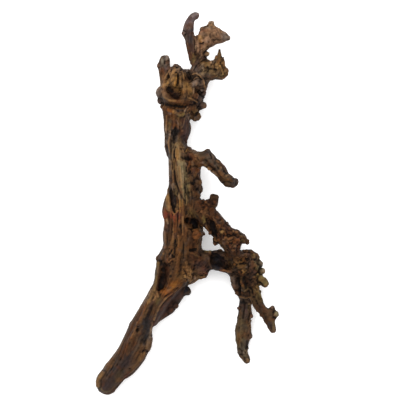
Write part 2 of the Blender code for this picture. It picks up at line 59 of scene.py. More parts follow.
print("the root measures", np.round(high - low, 1), "mm")

# %% [markdown]
# ## The camera, and places on the root
#
# The photograph looks straight down on the root from far away, so the camera hangs high above it with a
# long lens, and near and far parts keep their true sizes. One pixel of the photograph, which is 400
# pixels wide, covers one millimetre at the middle height of the root. So every mark below can be given
# by the pixel where it is seen, and `spot` turns that into millimetres on the root.

# %% Camera
PHOTO_MM = 400                  # what the photograph's width covers
MIDDLE_PX = (187.0, 203.7)      # the pixel where the middle of the root is seen
LENS_MM = 900
MID_HEIGHT_MM = 28


def spot(px, py):
    """Millimetres on the root, seen from above, from a pixel of the photograph."""
    return px - MIDDLE_PX[0], MIDDLE_PX[1] - py


aim_x, aim_y = spot(PHOTO_MM / 2, PHOTO_MM / 2)
bpy.ops.object.camera_add(rotation=(0, 0, 0))
camera = bpy.context.object
camera.data.lens = LENS_MM
distance = PHOTO_MM * LENS_MM / camera.data.sensor_width
camera.location = (aim_x * MM, aim_y * MM, (distance + MID_HEIGHT_MM) * MM)
bpy.context.scene.camera = camera
print("the camera hangs", round(distance * MM, 2), "m above the root")

# %% [markdown]
# ## A finer skin
#
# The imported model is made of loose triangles, some of them 15 mm long. A sculptor would remesh it before
# working on it: the corners that lie on each other are merged, a Remesh modifier lays an even net of
# small squares over the shape, and a Smooth modifier takes away the flat facets that the triangles
# leave behind. Building it from primitives would lose the shape that the model already has.

# %% Copy, merge, remesh and smooth
SKIN_MM = 1.03                  # side of the squares, which keeps the skin under 200,000 triangles
SAME_PLACE_MM = 0.01            # corners closer than this are one corner
SMOOTHINGS = 5


def select_only(obj):
    bpy.ops.object.select_all(action="DESELECT")
    obj.select_set(True)
    bpy.context.view_layer.objects.active = obj


def apply_modifier(obj, kind, **settings):
    modifier = obj.modifiers.new(kind.title(), kind)
    for name, value in settings.items():
        setattr(modifier, name, value)
    select_only(obj)
    bpy.ops.object.modifier_apply(modifier=modifier.name)


root = bpy.data.objects.new("root_wood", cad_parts["ebony_root"].data.copy())
bpy.context.scene.collection.objects.link(root)
root.data.materials.clear()
select_only(root)
bpy.ops.object.mode_set(mode="EDIT")
bpy.ops.mesh.select_all(action="SELECT")
bpy.ops.mesh.remove_doubles(threshold=SAME_PLACE_MM * MM)
bpy.ops.object.mode_set(mode="OBJECT")
apply_modifier(root, "REMESH", mode="VOXEL", voxel_size=SKIN_MM * MM)
apply_modifier(root, "SMOOTH", factor=0.5, iterations=SMOOTHINGS)
bpy.ops.object.shade_smooth()
print(len(root.data.polygons), "faces in the new skin")

# %% [markdown]
# ## Working on all corners at once
#
# Sculpting by script means moving thousands of corners. NumPy holds them as one table in millimetres,
# so that a formula moves them all together. `spread` averages every corner with its neighbours: it is
# the smoothing brush, and what it takes away shows where the skin has crests and hollows.

# %% Tables of the skin


def read(kind, width):
    """A table of one value of every corner, such as its place or the way it faces."""
    table = np.empty(len(root.data.vertices) * width)
    root.data.vertices.foreach_get(kind, table)
    return table.reshape(-1, width)


def write(places):
    root.data.vertices.foreach_set("co", (places * MM).ravel())
    root.data.update()


edges = np.empty(len(root.data.edges) * 2, np.int32)
root.data.edges.foreach_get("vertices", edges)
edges = edges.reshape(-1, 2)
corner_count = len(root.data.vertices)
ends = np.concatenate([edges, edges[:, ::-1]])
neighbour_count = np.bincount(ends[:, 0], minlength=corner_count)


def spread(table, times):
    """Averages every corner of a table with its neighbours, so many times."""
    table = table.reshape(corner_count, -1).copy()
    for _ in range(times):
        for column in table.T:
            around = np.bincount(ends[:, 0], weights=column[ends[:, 1]], minlength=corner_count)
            column[:] = 0.5 * column + 0.5 * around / neighbour_count
    return table


def smoothstep(t):
    t = np.clip(t, 0, 1)
    return t * t * (3 - 2 * t)


places = read("co", 3) / MM


def softened(share):
    """The places of the corners, moved by this share of the way to their smoothed places."""
    return share * spread(places, 1) + (1 - share) * places


print(corner_count, "corners,", len(edges), "edges")

# %% [markdown]
# ## Notches in the outline
#
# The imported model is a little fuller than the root. A round file takes the rest off: held upright against
# the side, it pushes every corner that it meets back to its own round surface. A row is the file's radius
# in millimetres and the pixel of its middle. With a second pixel it is drawn from the first to the second,
# in steps of half a millimetre. A light pass of the smoothing brush then takes the burr off the cuts.

# %% File the outline
FILE_CUTS = [
    (2, (196.6, 33.2)), (3.4, (197.4, 23)), (1.3, (225, 51), (221.6, 58)), (6.2, (231, 63.5)),
    (5.2, (229.5, 80.5)), (3.4, (184.5, 66)), (3, (189, 66.8)), (7.6, (178, 43)),
    (1.6, (209, 98.6), (204.6, 99.4)), (2.7, (203.2, 194.4)), (1.9, (203, 196.4), (201.2, 198.6)),
    (2.3, (217.6, 208.6)), (1.9, (250.6, 241)), (3.1, (243.6, 246.8)),
    (1.3, (243, 248.6), (240.6, 250.4)), (1.3, (206, 232), (204.2, 229.8)), (3, (207.2, 237.6)),
    (4, (205.2, 245.2)), (3.2, (209.6, 241)), (1.8, (264, 257), (261.2, 258.6)),
    (1.5, (266, 266.4), (261.6, 267)), (2.2, (268, 273.4), (264, 275.4)),
    (1.5, (264, 290), (259.6, 286.4)), (1.4, (254, 311.4), (252, 307)), (2, (254.4, 311.2)),
    (3.8, (256, 315.2)), (4.8, (258.8, 320.8)), (4.6, (262.7, 327.3)), (4, (266.1, 332.4)),
    (5.5, (256, 324)), (1.8, (254, 319.4), (251.8, 319)), (3.6, (253.2, 341.2)), (4.9, (253.6, 345)),
    (3.3, (250.8, 351.6)), (9, (229, 313.5)), (11, (226.2, 320)), (11, (224.5, 326.5)),
    (10.5, (225, 338)), (7, (230, 346)), (14.5, (150, 223)), (10, (151, 247.7)), (8.8, (148, 265.5)),
    (10, (157.1, 191)), (7.2, (214.5, 277.5)), (6.6, (205.4, 284.6)), (6, (224.6, 279.4)),
    (8, (140.3, 290.9), (125.2, 315.9)), (4, (156, 329.8), (155.8, 333)),
    (6, (128.2, 384.2), (120.6, 393)), (8, (156.8, 134), (156.9, 145)), (8, (160.9, 161), (161, 178)),
    (3, (189.6, 143.8)), (6, (233.2, 169.6)), (5, (219.8, 154.6)), (2, (233.6, 225.6)),
]
FILE_STEP_MM = 0.5
for radius, *stroke in FILE_CUTS:
    first, last = spot(*stroke[0]), spot(*stroke[-1])
    steps = math.ceil(math.dist(first, last) / FILE_STEP_MM)
    for middle in np.linspace(first, last, 1 + steps):
        away = places[:, :2] - middle
        gap = np.maximum(np.hypot(*away.T), 0.01)
        places[:, :2] += away * (np.maximum(radius / gap, 1) - 1)[:, None]
places = softened(0.3)
write(places)
facing = spread(read("normal", 3), 2)
facing /= np.linalg.norm(facing, axis=1)[:, None]
print(len(FILE_CUTS), "cuts of the file")

# %% [markdown]
# ## Which way the grain runs
#
# Wood grain follows each limb and flows round every knot. A few lines drawn along the limbs, and a few
# rings round the knots, are enough: each corner of the skin takes an average of the lines near it.
# Grain has no front or back, so the average uses the doubled angle, in which a line that points up and
# one that points down count as the same. In the knotted places the grain wavers, which a slow noise adds.
#
# A ring is the pixel of its middle and its size. A knotted place has a size too, and says how knotted it
# is, from 0 to 1.

# %% Lines, rings and knotted places
GRAIN_LINES = [
    [(104, 384), (122, 358), (137, 330), (150, 305), (160, 285), (170, 262)],
    [(170, 262), (177, 235), (179, 210), (178, 185), (176, 160), (178, 135), (180, 112)],
    [(188, 245), (190, 215), (190, 180), (188, 150), (186, 128)],
    [(190, 78), (192, 60), (188, 45), (188, 30), (192, 18), (197, 14)],
    [(198, 54), (199, 40), (208, 32), (218, 33), (228, 39)],
    [(194, 72), (206, 68), (218, 69), (226, 72)],
    [(216, 64), (220, 50)],
    [(222, 64), (224, 58)],
    [(163, 80), (165, 60)],
    [(194, 152), (206, 156), (218, 170), (228, 181), (237, 181)],
    [(198, 208), (212, 204), (217, 196)],
    [(203, 212), (216, 222), (228, 236), (242, 244)],
    [(188, 262), (206, 264), (222, 268), (236, 272)],
    [(158, 312), (174, 298), (190, 288)],
    [(238, 250), (244, 270), (246, 298)],
    [(244, 300), (243, 320), (241, 340), (243, 352), (249, 361)],
    [(253, 294), (262, 306), (270, 320), (274, 332)],
    [(258, 276), (267, 284)],
]
GRAIN_RINGS = [
    (173, 93, 9), (190, 77, 4), (196, 87, 6), (191, 172, 5), (194, 184, 4), (191, 222, 7), (197, 235, 6),
    (212, 230, 6), (219, 260, 7), (233, 243, 7), (246, 264, 6), (200, 266, 8), (162, 275, 7),
    (171, 258, 5), (139, 329, 4), (144, 351, 4), (217, 34, 4), (200, 100, 6), (246, 285, 6),
]
KNOTTED = [
    (199, 100, 13, 0.7), (182, 68, 12, 0.5), (196, 117, 10, 0.8), (208, 70, 9, 0.5), (221, 70, 9, 0.6),
    (213, 34, 9, 0.2), (203, 57, 5, 0.4), (193, 150, 6, 0.5), (200, 190, 8, 0.3),
    (207, 215, 12, 0.8), (224, 230, 13, 0.9), (238, 242, 13, 1), (216, 244, 9, 0.9), (228, 262, 10, 0.8),
    (246, 258, 14, 1), (250, 276, 15, 1), (250, 294, 12, 0.7), (200, 262, 12, 0.4), (172, 257, 7, 0.6),
    (250, 316, 5, 0.4), (250, 335, 5, 0.4), (275, 312, 6, 0.4), (242, 354, 6, 0.4), (210, 152, 5, 0.3),
    (212, 200, 7, 0.4),
]
print(len(GRAIN_LINES), "grain lines,", len(GRAIN_RINGS), "rings,", len(KNOTTED), "knotted places")

# %% Which way the grain runs
RING_PULL = 2.5                 # how much a ring counts against the lines
WAVER = 1.6                     # the most that the grain turns in a knotted place, in radians
WAVER_MM = 9


def gap_to(path, places):
    """How far each place is from a line through these pixels, seen from above, and the line's angle."""
    points = np.array([spot(px, py) for px, py in path])
    gap = np.full(len(places), np.inf)
    angle = np.zeros(len(places))
    for start, step in zip(points[:-1], np.diff(points, axis=0)):
        offset = places[:, :2] - start
        share = np.clip(offset @ step / max(step @ step, 1e-9), 0, 1)
        here = np.hypot(*(offset - share[:, None] * step).T)
        closer = here < gap
        gap[closer] = here[closer]
        angle[closer] = math.atan2(step[1], step[0])
    return gap, angle


def solid_noise(size, seed, points=None):
    """Smooth noise from -1 to 1 in spots of this size in millimetres."""
    points = places if points is None else points
    shift = Vector((7.3 * seed, -3.1 * seed, 5.7 * seed))
    return np.array([noise.noise(Vector(point) / size + shift) for point in points])


doubled = np.zeros((corner_count, 2))


def pull(angle, weight):
    """Turns the doubled direction of each corner towards an angle."""
    doubled[:] += weight[:, None] * np.column_stack([np.cos(2 * angle), np.sin(2 * angle)])


for line in GRAIN_LINES:
    gap, angle = gap_to(line, places)
    pull(angle, 1 / (2 + gap) ** 4)
doubled /= np.linalg.norm(doubled, axis=1)[:, None]
for px, py, size in GRAIN_RINGS:
    offset = places[:, :2] - spot(px, py)
    angle = np.arctan2(offset[:, 1], offset[:, 0]) + math.pi / 2
    pull(angle, RING_PULL * np.exp(-((np.hypot(*offset.T) / size) ** 2)))
knotted = np.zeros(corner_count)
for px, py, size, strength in KNOTTED:
    gap = np.hypot(*(places[:, :2] - spot(px, py)).T)
    knotted = np.maximum(knotted, strength * smoothstep(1.5 - gap / size))
grain_angle = np.arctan2(doubled[:, 1], doubled[:, 0]) / 2 + WAVER * knotted * solid_noise(WAVER_MM, 1)
grain = np.column_stack([np.cos(grain_angle), np.sin(grain_angle), np.zeros(corner_count)])
grain -= facing * np.sum(grain * facing, axis=1)[:, None]
grain /= np.maximum(np.linalg.norm(grain, axis=1), 0.05)[:, None]
print("knotted", round(100 * knotted.mean()), "% of the skin")

# %% [markdown]
# ## Combing the grain
#
# A comb drawn through loose sand leaves long lines that follow the hand. Here the sand is random noise,
# one number for each corner, and combing means: every corner takes the average of the skin a short way
# ahead of it and behind it, along the grain. After a few rounds with a longer and longer reach, the
# noise has become streaks that bend with every limb and knot. A noise texture stretched along one axis
# would be simpler, but it can't turn a corner.

# %% Comb
REACH_MM = (1.3, 3.2, 7.5, 14)


def tree_of(points):
    """The points, sorted so that those nearest to any place are found fast."""
    tree = kdtree.KDTree(len(points))
    for index, point in enumerate(points):
        tree.insert(point, index)
    tree.balance()
    return tree


corner_tree = tree_of(places)


def corners_at(targets):
    """For each target place, its three nearest corners and how much each one counts."""
    found = [corner_tree.find_n(target, 3) for target in targets]
    nearest = np.array([[index for _, index, _ in row] for row in found])
    closeness = 1 / (0.2 + np.array([[gap for _, _, gap in row] for row in found]))
    return nearest, closeness / closeness.sum(axis=1)[:, None]


strokes_of_comb = [[corners_at(places + side * reach * grain) for side in (1, -1)] for reach in REACH_MM]


def comb(table, rounds):
    """Draws a table of numbers out along the grain, and gives it a mean of 0 and a spread of 1."""
    for ahead, behind in strokes_of_comb[:rounds]:
        table = (
            table
            + (table[ahead[0]] * ahead[1]).sum(axis=1)
            + (table[behind[0]] * behind[1]).sum(axis=1)
        ) / 3
    return (table - table.mean()) / table.std()


dice = np.random.default_rng(5)
fine_streaks = comb(dice.normal(size=corner_count), 3)
broad_streaks = comb(spread(dice.normal(size=corner_count), 5)[:, 0], 4)
stain_streaks = comb(spread(dice.normal(size=corner_count), 14)[:, 0], 4)
print("combed", corner_count, "corners, reach", REACH_MM)

# %% [markdown]
# ## Knobs of the burr
#
# Where a root is wounded again and again it grows burr: knobs the size of peas, pressed against each
# other, with a crease between any two, which is painted dark as its shade. They are laid out as a crowd
# of people would stand: corners are drawn at random from the knotted places, and one that comes too
# close to an earlier one is dropped.
# Each corner of the skin then belongs to its nearest knob. How much nearer that is than the second
# nearest says whether the corner lies on a top or in a crease. A slow noise folds the knobs once more.

# %% Crowd of knobs
KNOB_GAP_MM = 7


def crowd(candidates, gap):
    """Places at least this far apart, drawn at random from the candidate corners."""
    kept = places[candidates[:1]]
    for index in dice.permutation(candidates):
        if np.min(np.sum((kept - places[index]) ** 2, axis=1)) > gap**2:
            kept = np.vstack([kept, places[index]])
    return kept


knob_centres = crowd(np.flatnonzero(knotted > 0.05), KNOB_GAP_MM)
knob_tree = tree_of(knob_centres)
print(len(knob_centres), "knobs")

# %% Tops and creases of the knobs
WOBBLE_MM = 3                   # how far the edge of a knob strays
wobble = np.column_stack([solid_noise(4.5, seed) for seed in (11, 12, 13)])
wobble += 0.4 * np.column_stack([solid_noise(2, seed) for seed in (14, 15, 16)])
nearest_two = [knob_tree.find_n(place, 2) for place in places + WOBBLE_MM * wobble]
knob_of = np.array([pair[0][1] for pair in nearest_two])
first_gap, second_gap = np.array([[pair[0][2], pair[1][2]] for pair in nearest_two]).T
knob_top = (second_gap - first_gap) / (second_gap + first_gap)
fold = np.abs(solid_noise(8, 17, places + 2.5 * wobble))
knob_top = np.clip(np.minimum(1.3 * knob_top, 3 * fold), 0, 1)
knob_size = dice.uniform(0.25, 1, len(knob_centres))[knob_of]
print("tops cover", round(100 * (knotted * knob_top).mean()), "% of the skin")

# %% [markdown]
# ## Marks
#
# Every part of the root below has a table of marks, and one tool works them all. A row of a table holds a
# colour, how much of the wood it covers, how far the mark stands out in millimetres (below 0 it is sunk,
# at 0 it is only a stain), its radius, and the pixels that it runs through. A mark with a single pixel is
# a knob or a pit, and is shaped in all three dimensions. One drawn as a line shows from above only, and
# fades out on the sides that face down.
#
# A stain is ragged: it reaches further where a streak of the grain leads it on, so that it ends in fibres
# and not in a round blot. It is patchy too, as the wood takes it up more in one spot than in the next.
# Round a raised mark the wood sinks a little, and painted shade darkens it, as in the crease round a knot.
# The dark colour of a sunk mark, such as soot or maroon in a hole, a pit or a crevice, is painted shade too.

# %% The colours of the wood
COLOURS = {
    "brown": (76, 52, 32), "dark": (44, 27, 18), "ochre": (130, 96, 56), "gold": (140, 99, 48),
    "straw": (116, 95, 64), "orange": (110, 62, 19), "amber": (84, 50, 21), "umber": (58, 35, 19),
    "rust": (90, 49, 23), "red": (110, 46, 29), "maroon": (46, 23, 15), "tan": (121, 88, 54),
    "clay": (154, 117, 89), "pale": (154, 126, 98), "olive": (90, 75, 41), "sage": (110, 104, 78),
    "grey": (108, 97, 90), "lilac": (110, 93, 94), "slate": (49, 46, 46), "plum": (57, 39, 38),
    "soot": (16, 10, 7), "ink": (17, 19, 26), "ash": (138, 125, 113),
}


def light(name):
    """The colour as amounts of light, which is what a renderer adds up."""
    share = np.array(COLOURS[name]) / 255
    return np.where(share > 0.04045, ((share + 0.055) / 1.055) ** 2.4, share / 12.92)


tone = np.tile(light("brown"), (corner_count, 1))


def dye(colour, share):
    """Mixes a colour into the tone of each corner, by its share from 0 to 1."""
    tone[:] += (colour - tone) * share[:, None]


print(len(COLOURS), "colours")

# %% The tool for marks
FRAY_MM = 4                     # marks with a smaller radius are less ragged
RING_AT = 1.35                  # where the ring round a raised mark lies, in radii of the mark
RING_DEPTH = 0.2                # how deep it is, as a share of the mark's height
# painted shade: the ring round a raised mark goes towards soot colour, this much for each mm of height
RING_SHADE = 0.28                # how dark it is, for each millimetre of the mark's height
upward = smoothstep(0.45 + 1.8 * facing[:, 2])
ragged = 0.8 * np.column_stack([solid_noise(4, 2), solid_noise(4, 3), np.zeros(corner_count)])
ragged += grain * (1.8 * fine_streaks)[:, None]
uneven = solid_noise(2.4, 4)
wavy = places + wobble
patchy = 0.5 + 0.5 * smoothstep(0.5 + 0.6 * solid_noise(2.8, 21) + 0.2 * fine_streaks)
relief = np.zeros(corner_count)
shade = np.zeros(corner_count)


def below(px, py):
    """The corner of the skin that shows at this pixel, or the nearest one where none does."""
    gap = np.hypot(*(places[:, :2] - spot(px, py)).T)
    close = np.flatnonzero(gap < 1)
    return close[np.argmax(places[close, 2])] if len(close) else np.argmin(gap)


def mark(rows, seen=upward):
    """Works a table of marks into the relief, the tone and the painted shade of the skin, where it is seen.
    """
    for colour, cover, height, radius, *pixels in rows:
        fray = ragged * min(1, radius / FRAY_MM)
        if len(pixels) == 1:
            middle = below(*pixels[0])
            gap = np.linalg.norm(wavy - wavy[middle], axis=1)
            stained = np.linalg.norm(wavy + 0.5 * fray - wavy[middle], axis=1)
            reach = 1.0
        else:
            gap, _ = gap_to(pixels, places)
            stained, _ = gap_to(pixels, places + fray)
            reach = seen
        gap = gap + 0.3 * radius * uneven
        if height > 0:
            dome = np.sqrt(np.clip(1 - (gap / (1.1 * radius)) ** 2, 0, 1))
            ring = np.exp(-(((gap - RING_AT * radius) / (0.25 * radius + 0.35)) ** 2)) * reach
            relief[:] += height * dome * reach
            relief[:] -= RING_DEPTH * height * ring
            # painted shade in the ring round a raised mark; the soot colour is laid on it later
            shade[:] = np.maximum(shade, min(0.5, RING_SHADE * height) * ring)
        elif height < 0:
            relief[:] += height * smoothstep(1.3 - gap / radius) * reach
        dye(light(colour), cover * smoothstep(1.35 - stained / radius) * reach * patchy)


def wash(rows, seen=upward):
    """Works a table of stains, whose rows hold no height."""
    mark([(colour, cover, 0, radius, *pixels) for colour, cover, radius, *pixels in rows], seen)


print("the top side is", round(100 * upward.mean()), "% of the skin")

# %% [markdown]
# ## Washes
#
# Before any detail the root gets its broad colours, as a painter would lay them in with a wide brush:
# orange-brown on the lower trunk, dark umber on the branch, grey at the ends that stood in mud. They go
# all round the wood, so that its sides and its back match its front. A row is as above, without a height.

# %% Broad washes of colour
WASHES = [
    ("amber", 0.85, 13, (170, 222), (178, 240), (184, 258), (180, 276)),
    ("amber", 0.6, 12, (190, 208), (204, 216), (196, 238)),
    ("umber", 0.9, 16, (206, 208), (222, 232), (238, 244), (236, 262), (244, 284)),
    ("rust", 0.45, 8, (204, 206), (212, 214), (228, 236), (240, 258)),
    ("rust", 0.7, 9, (191, 158), (195, 172)),
    ("umber", 0.85, 7, (198, 174), (199, 184), (198, 194)),
    ("umber", 0.8, 11, (174, 114), (176, 128), (180, 138)),
    ("rust", 0.7, 6, (171, 116), (174, 124)),
    ("plum", 0.8, 6, (185, 120), (187, 132), (184, 146)),
    ("slate", 0.85, 6, (174, 132), (180, 134), (184, 140)),
    ("slate", 0.7, 4, (167, 136), (168, 146), (170, 158)),
    ("lilac", 0.9, 7, (197, 14), (190, 18), (187, 28)),
    ("plum", 0.85, 7, (187, 36), (190, 48), (192, 60)),
    ("slate", 0.5, 3, (192, 28), (192, 42)),
    ("clay", 0.85, 12, (208, 32), (214, 36), (224, 38)),
    ("clay", 0.7, 8, (200, 40), (203, 52)),
    ("pale", 0.8, 4, (208, 24), (213, 25)),
    ("grey", 0.8, 4, (225, 37), (229, 38)),
    ("ochre", 0.6, 9, (206, 64), (222, 70)),
    ("tan", 0.5, 6, (208, 66), (220, 64)),
    ("tan", 0.5, 7, (198, 62), (204, 66)),
    ("ochre", 0.85, 9, (163, 84), (168, 78), (178, 74)),
    ("clay", 0.4, 7, (160, 86), (164, 78), (172, 72)),
    ("lilac", 0.45, 6, (160, 60), (168, 66), (182, 67)),
    ("ochre", 0.6, 9, (184, 88), (176, 84)),
    ("grey", 0.3, 9, (194, 74), (204, 84)),
    ("umber", 0.6, 8, (176, 96), (192, 104)),
    ("grey", 0.5, 6, (158, 88), (160, 100)),
    ("slate", 0.85, 6, (204, 95), (203, 107)),
    ("slate", 0.8, 9, (206, 151), (215, 160), (222, 170)),
    ("umber", 0.5, 8, (222, 172), (232, 181)),
    ("ochre", 0.5, 6, (166, 196), (168, 206)),
    ("straw", 0.9, 8, (178, 146), (179, 170), (184, 196)),
    ("red", 0.6, 6, (165, 214), (176, 215)),
    ("plum", 0.85, 10, (198, 264), (204, 270)),
    ("dark", 0.65, 8, (199, 262), (205, 268)),
    ("rust", 0.4, 7, (194, 258), (200, 258)),
    ("ink", 0.85, 8, (216, 254), (219, 260), (218, 268)),
    ("ochre", 0.5, 8, (190, 278), (198, 276)),
    ("orange", 0.5, 6, (163, 291), (176, 284)),
    ("tan", 0.7, 7, (158, 288), (150, 302), (144, 314)),
    ("slate", 0.6, 7, (148, 320), (144, 336)),
    ("dark", 0.4, 5, (151, 330), (151, 344)),
    ("slate", 0.7, 9, (126, 362), (112, 378), (102, 388)),
    ("tan", 0.35, 5, (122, 340), (108, 362)),
    ("plum", 0.5, 8, (178, 298), (166, 312)),
    ("ink", 0.9, 4.5, (187.5, 288), (187, 294)),
    ("gold", 0.4, 6, (238, 260), (244, 268)),
    ("soot", 0.75, 9, (242, 270), (246, 280), (245, 288)),
    ("olive", 0.85, 7, (260, 268), (265, 282), (259, 296)),
    ("sage", 0.4, 4, (258, 262), (262, 272), (266, 284)),
    ("slate", 0.6, 7, (244, 302), (243, 312)),
    ("slate", 0.7, 8, (242, 346), (246, 362)),
    ("slate", 0.3, 8, (243, 322), (242, 340)),
    ("olive", 0.45, 6, (240, 322), (239, 342)),
    ("sage", 0.35, 5, (242, 351), (247, 360)),
    ("sage", 0.5, 5, (276, 313)),
    ("slate", 0.6, 5, (271, 326), (273, 332)),
]
wash(WASHES, seen=1)
print("washes:", len(WASHES))

# %% [markdown]
# ## The heavy end
#
# The thick leg ends in a rounded stump. Its wood is plain brown with long slate-coloured streaks, an
# ochre edge where the bark has worn away, and a few worm holes, painted black as their shade. The streaks
# lie a little deeper than the rest, in shallow grooves, and their slate colour is painted shade. A thin
# fin hangs on its right side, under a pale rib, and is painted plum-dark as the shade that it lies in.

# %% Leg and fin
LEG = [
    ("dark", 0.5, 0, 8, (150, 308), (136, 336), (120, 362), (106, 382)),
    ("brown", 0.6, 0, 5, (141, 312), (128, 336), (114, 360)),
    ("rust", 0.6, 0, 2.6, (146, 304), (141, 314), (137, 322)),
    ("orange", 0.4, 0, 1.3, (146, 303), (142, 312)),
    ("rust", 0.55, 0, 3.4, (134, 326), (128, 342), (121, 354)),
    ("grey", 0.35, 0, 1.2, (140, 308), (130, 326), (118, 350), (104, 370)),
    ("tan", 0.4, 0.4, 1, (137, 322), (131, 338)),
    ("plum", 0.7, -0.4, 1.8, (152, 302), (149, 313), (146, 322)),
    ("slate", 0.85, -0.3, 4.6, (147, 320), (147, 331), (143, 341)),
    ("ink", 0.3, 0, 3, (147, 320), (145, 334)),
    ("slate", 0.75, -0.5, 3, (139, 343), (131, 356), (124, 364)),
    ("ink", 0.4, 0, 2, (127, 357), (121, 365)),
    ("plum", 0.6, 0, 2.6, (133, 356), (126, 364), (118, 368)),
    ("maroon", 0.4, 0, 1.6, (136, 354), (131, 364)),
    ("maroon", 0.8, -0.6, 0.8, (131.6, 346), (130.6, 352)),
    ("maroon", 0.6, -0.4, 0.7, (134, 342), (133, 347)),
    ("slate", 0.65, -0.4, 2.6, (113, 368), (108, 377)),
    ("olive", 0.45, 0, 3, (121, 371), (118, 379)),
    ("red", 0.4, 0, 2, (128, 374), (125, 378)),
    ("plum", 0.5, 0, 4, (110, 381), (104, 386)),
    ("soot", 0.5, 0, 2.2, (120, 384), (113, 391)),
    ("tan", 0.5, 1, 3.4, (150, 340), (149.4, 348)),
    ("ochre", 0.3, 0, 1.6, (147, 341), (147, 348)),
    ("ochre", 0.5, 0.4, 2.6, (144, 353), (140, 359)),
    ("tan", 0.4, 0, 1.6, (140, 361), (131, 371)),
    ("pale", 0.45, 0.5, 1, (152.5, 322), (151, 330), (149.5, 337)),
    ("ochre", 0.8, 0.6, 1.8, (152, 291), (150, 297), (148.5, 302)),
    ("gold", 0.7, 0, 1.2, (151.5, 296)),
    ("plum", 0.8, 0, 1.8, (153.5, 302)),
    ("olive", 0.6, 0, 2, (159, 299), (157, 304)),
    ("orange", 0.85, 0.3, 1.6, (110, 366)),
    ("orange", 0.5, 0, 1.4, (113.5, 361)),
    ("ochre", 0.7, 1.3, 2, (103, 373), (98.4, 379), (98, 386)),
    ("olive", 0.7, 0, 1.2, (98, 387), (104, 391), (110, 392)),
    ("plum", 0.85, 0, 6.5, (178, 296), (171, 304), (163, 313), (157, 321)),
    ("maroon", 0.5, 0, 2.4, (173, 303), (168, 309)),
    ("umber", 0.4, 2, 3, (176, 307.4)),
    ("umber", 0.4, 1.5, 3, (171.6, 311.4)),
    ("soot", 0.5, 0, 1.2, (179, 300), (174, 309), (164, 317)),
    ("tan", 0.7, 0.8, 1.2, (176, 290), (168, 296), (162, 303), (157, 311), (154, 320)),
    ("dark", 0.7, -0.6, 1, (174, 293), (165, 301), (160, 308)),
    ("soot", 1, -2, 1.3, (139, 327)),
    ("soot", 1, -2.4, 1.9, (138.6, 330.3)),
    ("soot", 1, -1.8, 1.2, (143.8, 351.4)),
    ("soot", 1, -1.6, 1, (147.6, 351.4)),
    ("soot", 1, -1.8, 1, (129.5, 369.3)),
    ("soot", 0.8, -1.2, 0.8, (113.3, 360.6)),
    ("soot", 0.8, -1, 0.8, (148, 297.5)),
]
mark(LEG)
print("leg:", len(LEG), "marks, relief from", round(relief.min(), 1), "to", round(relief.max(), 1), "mm")
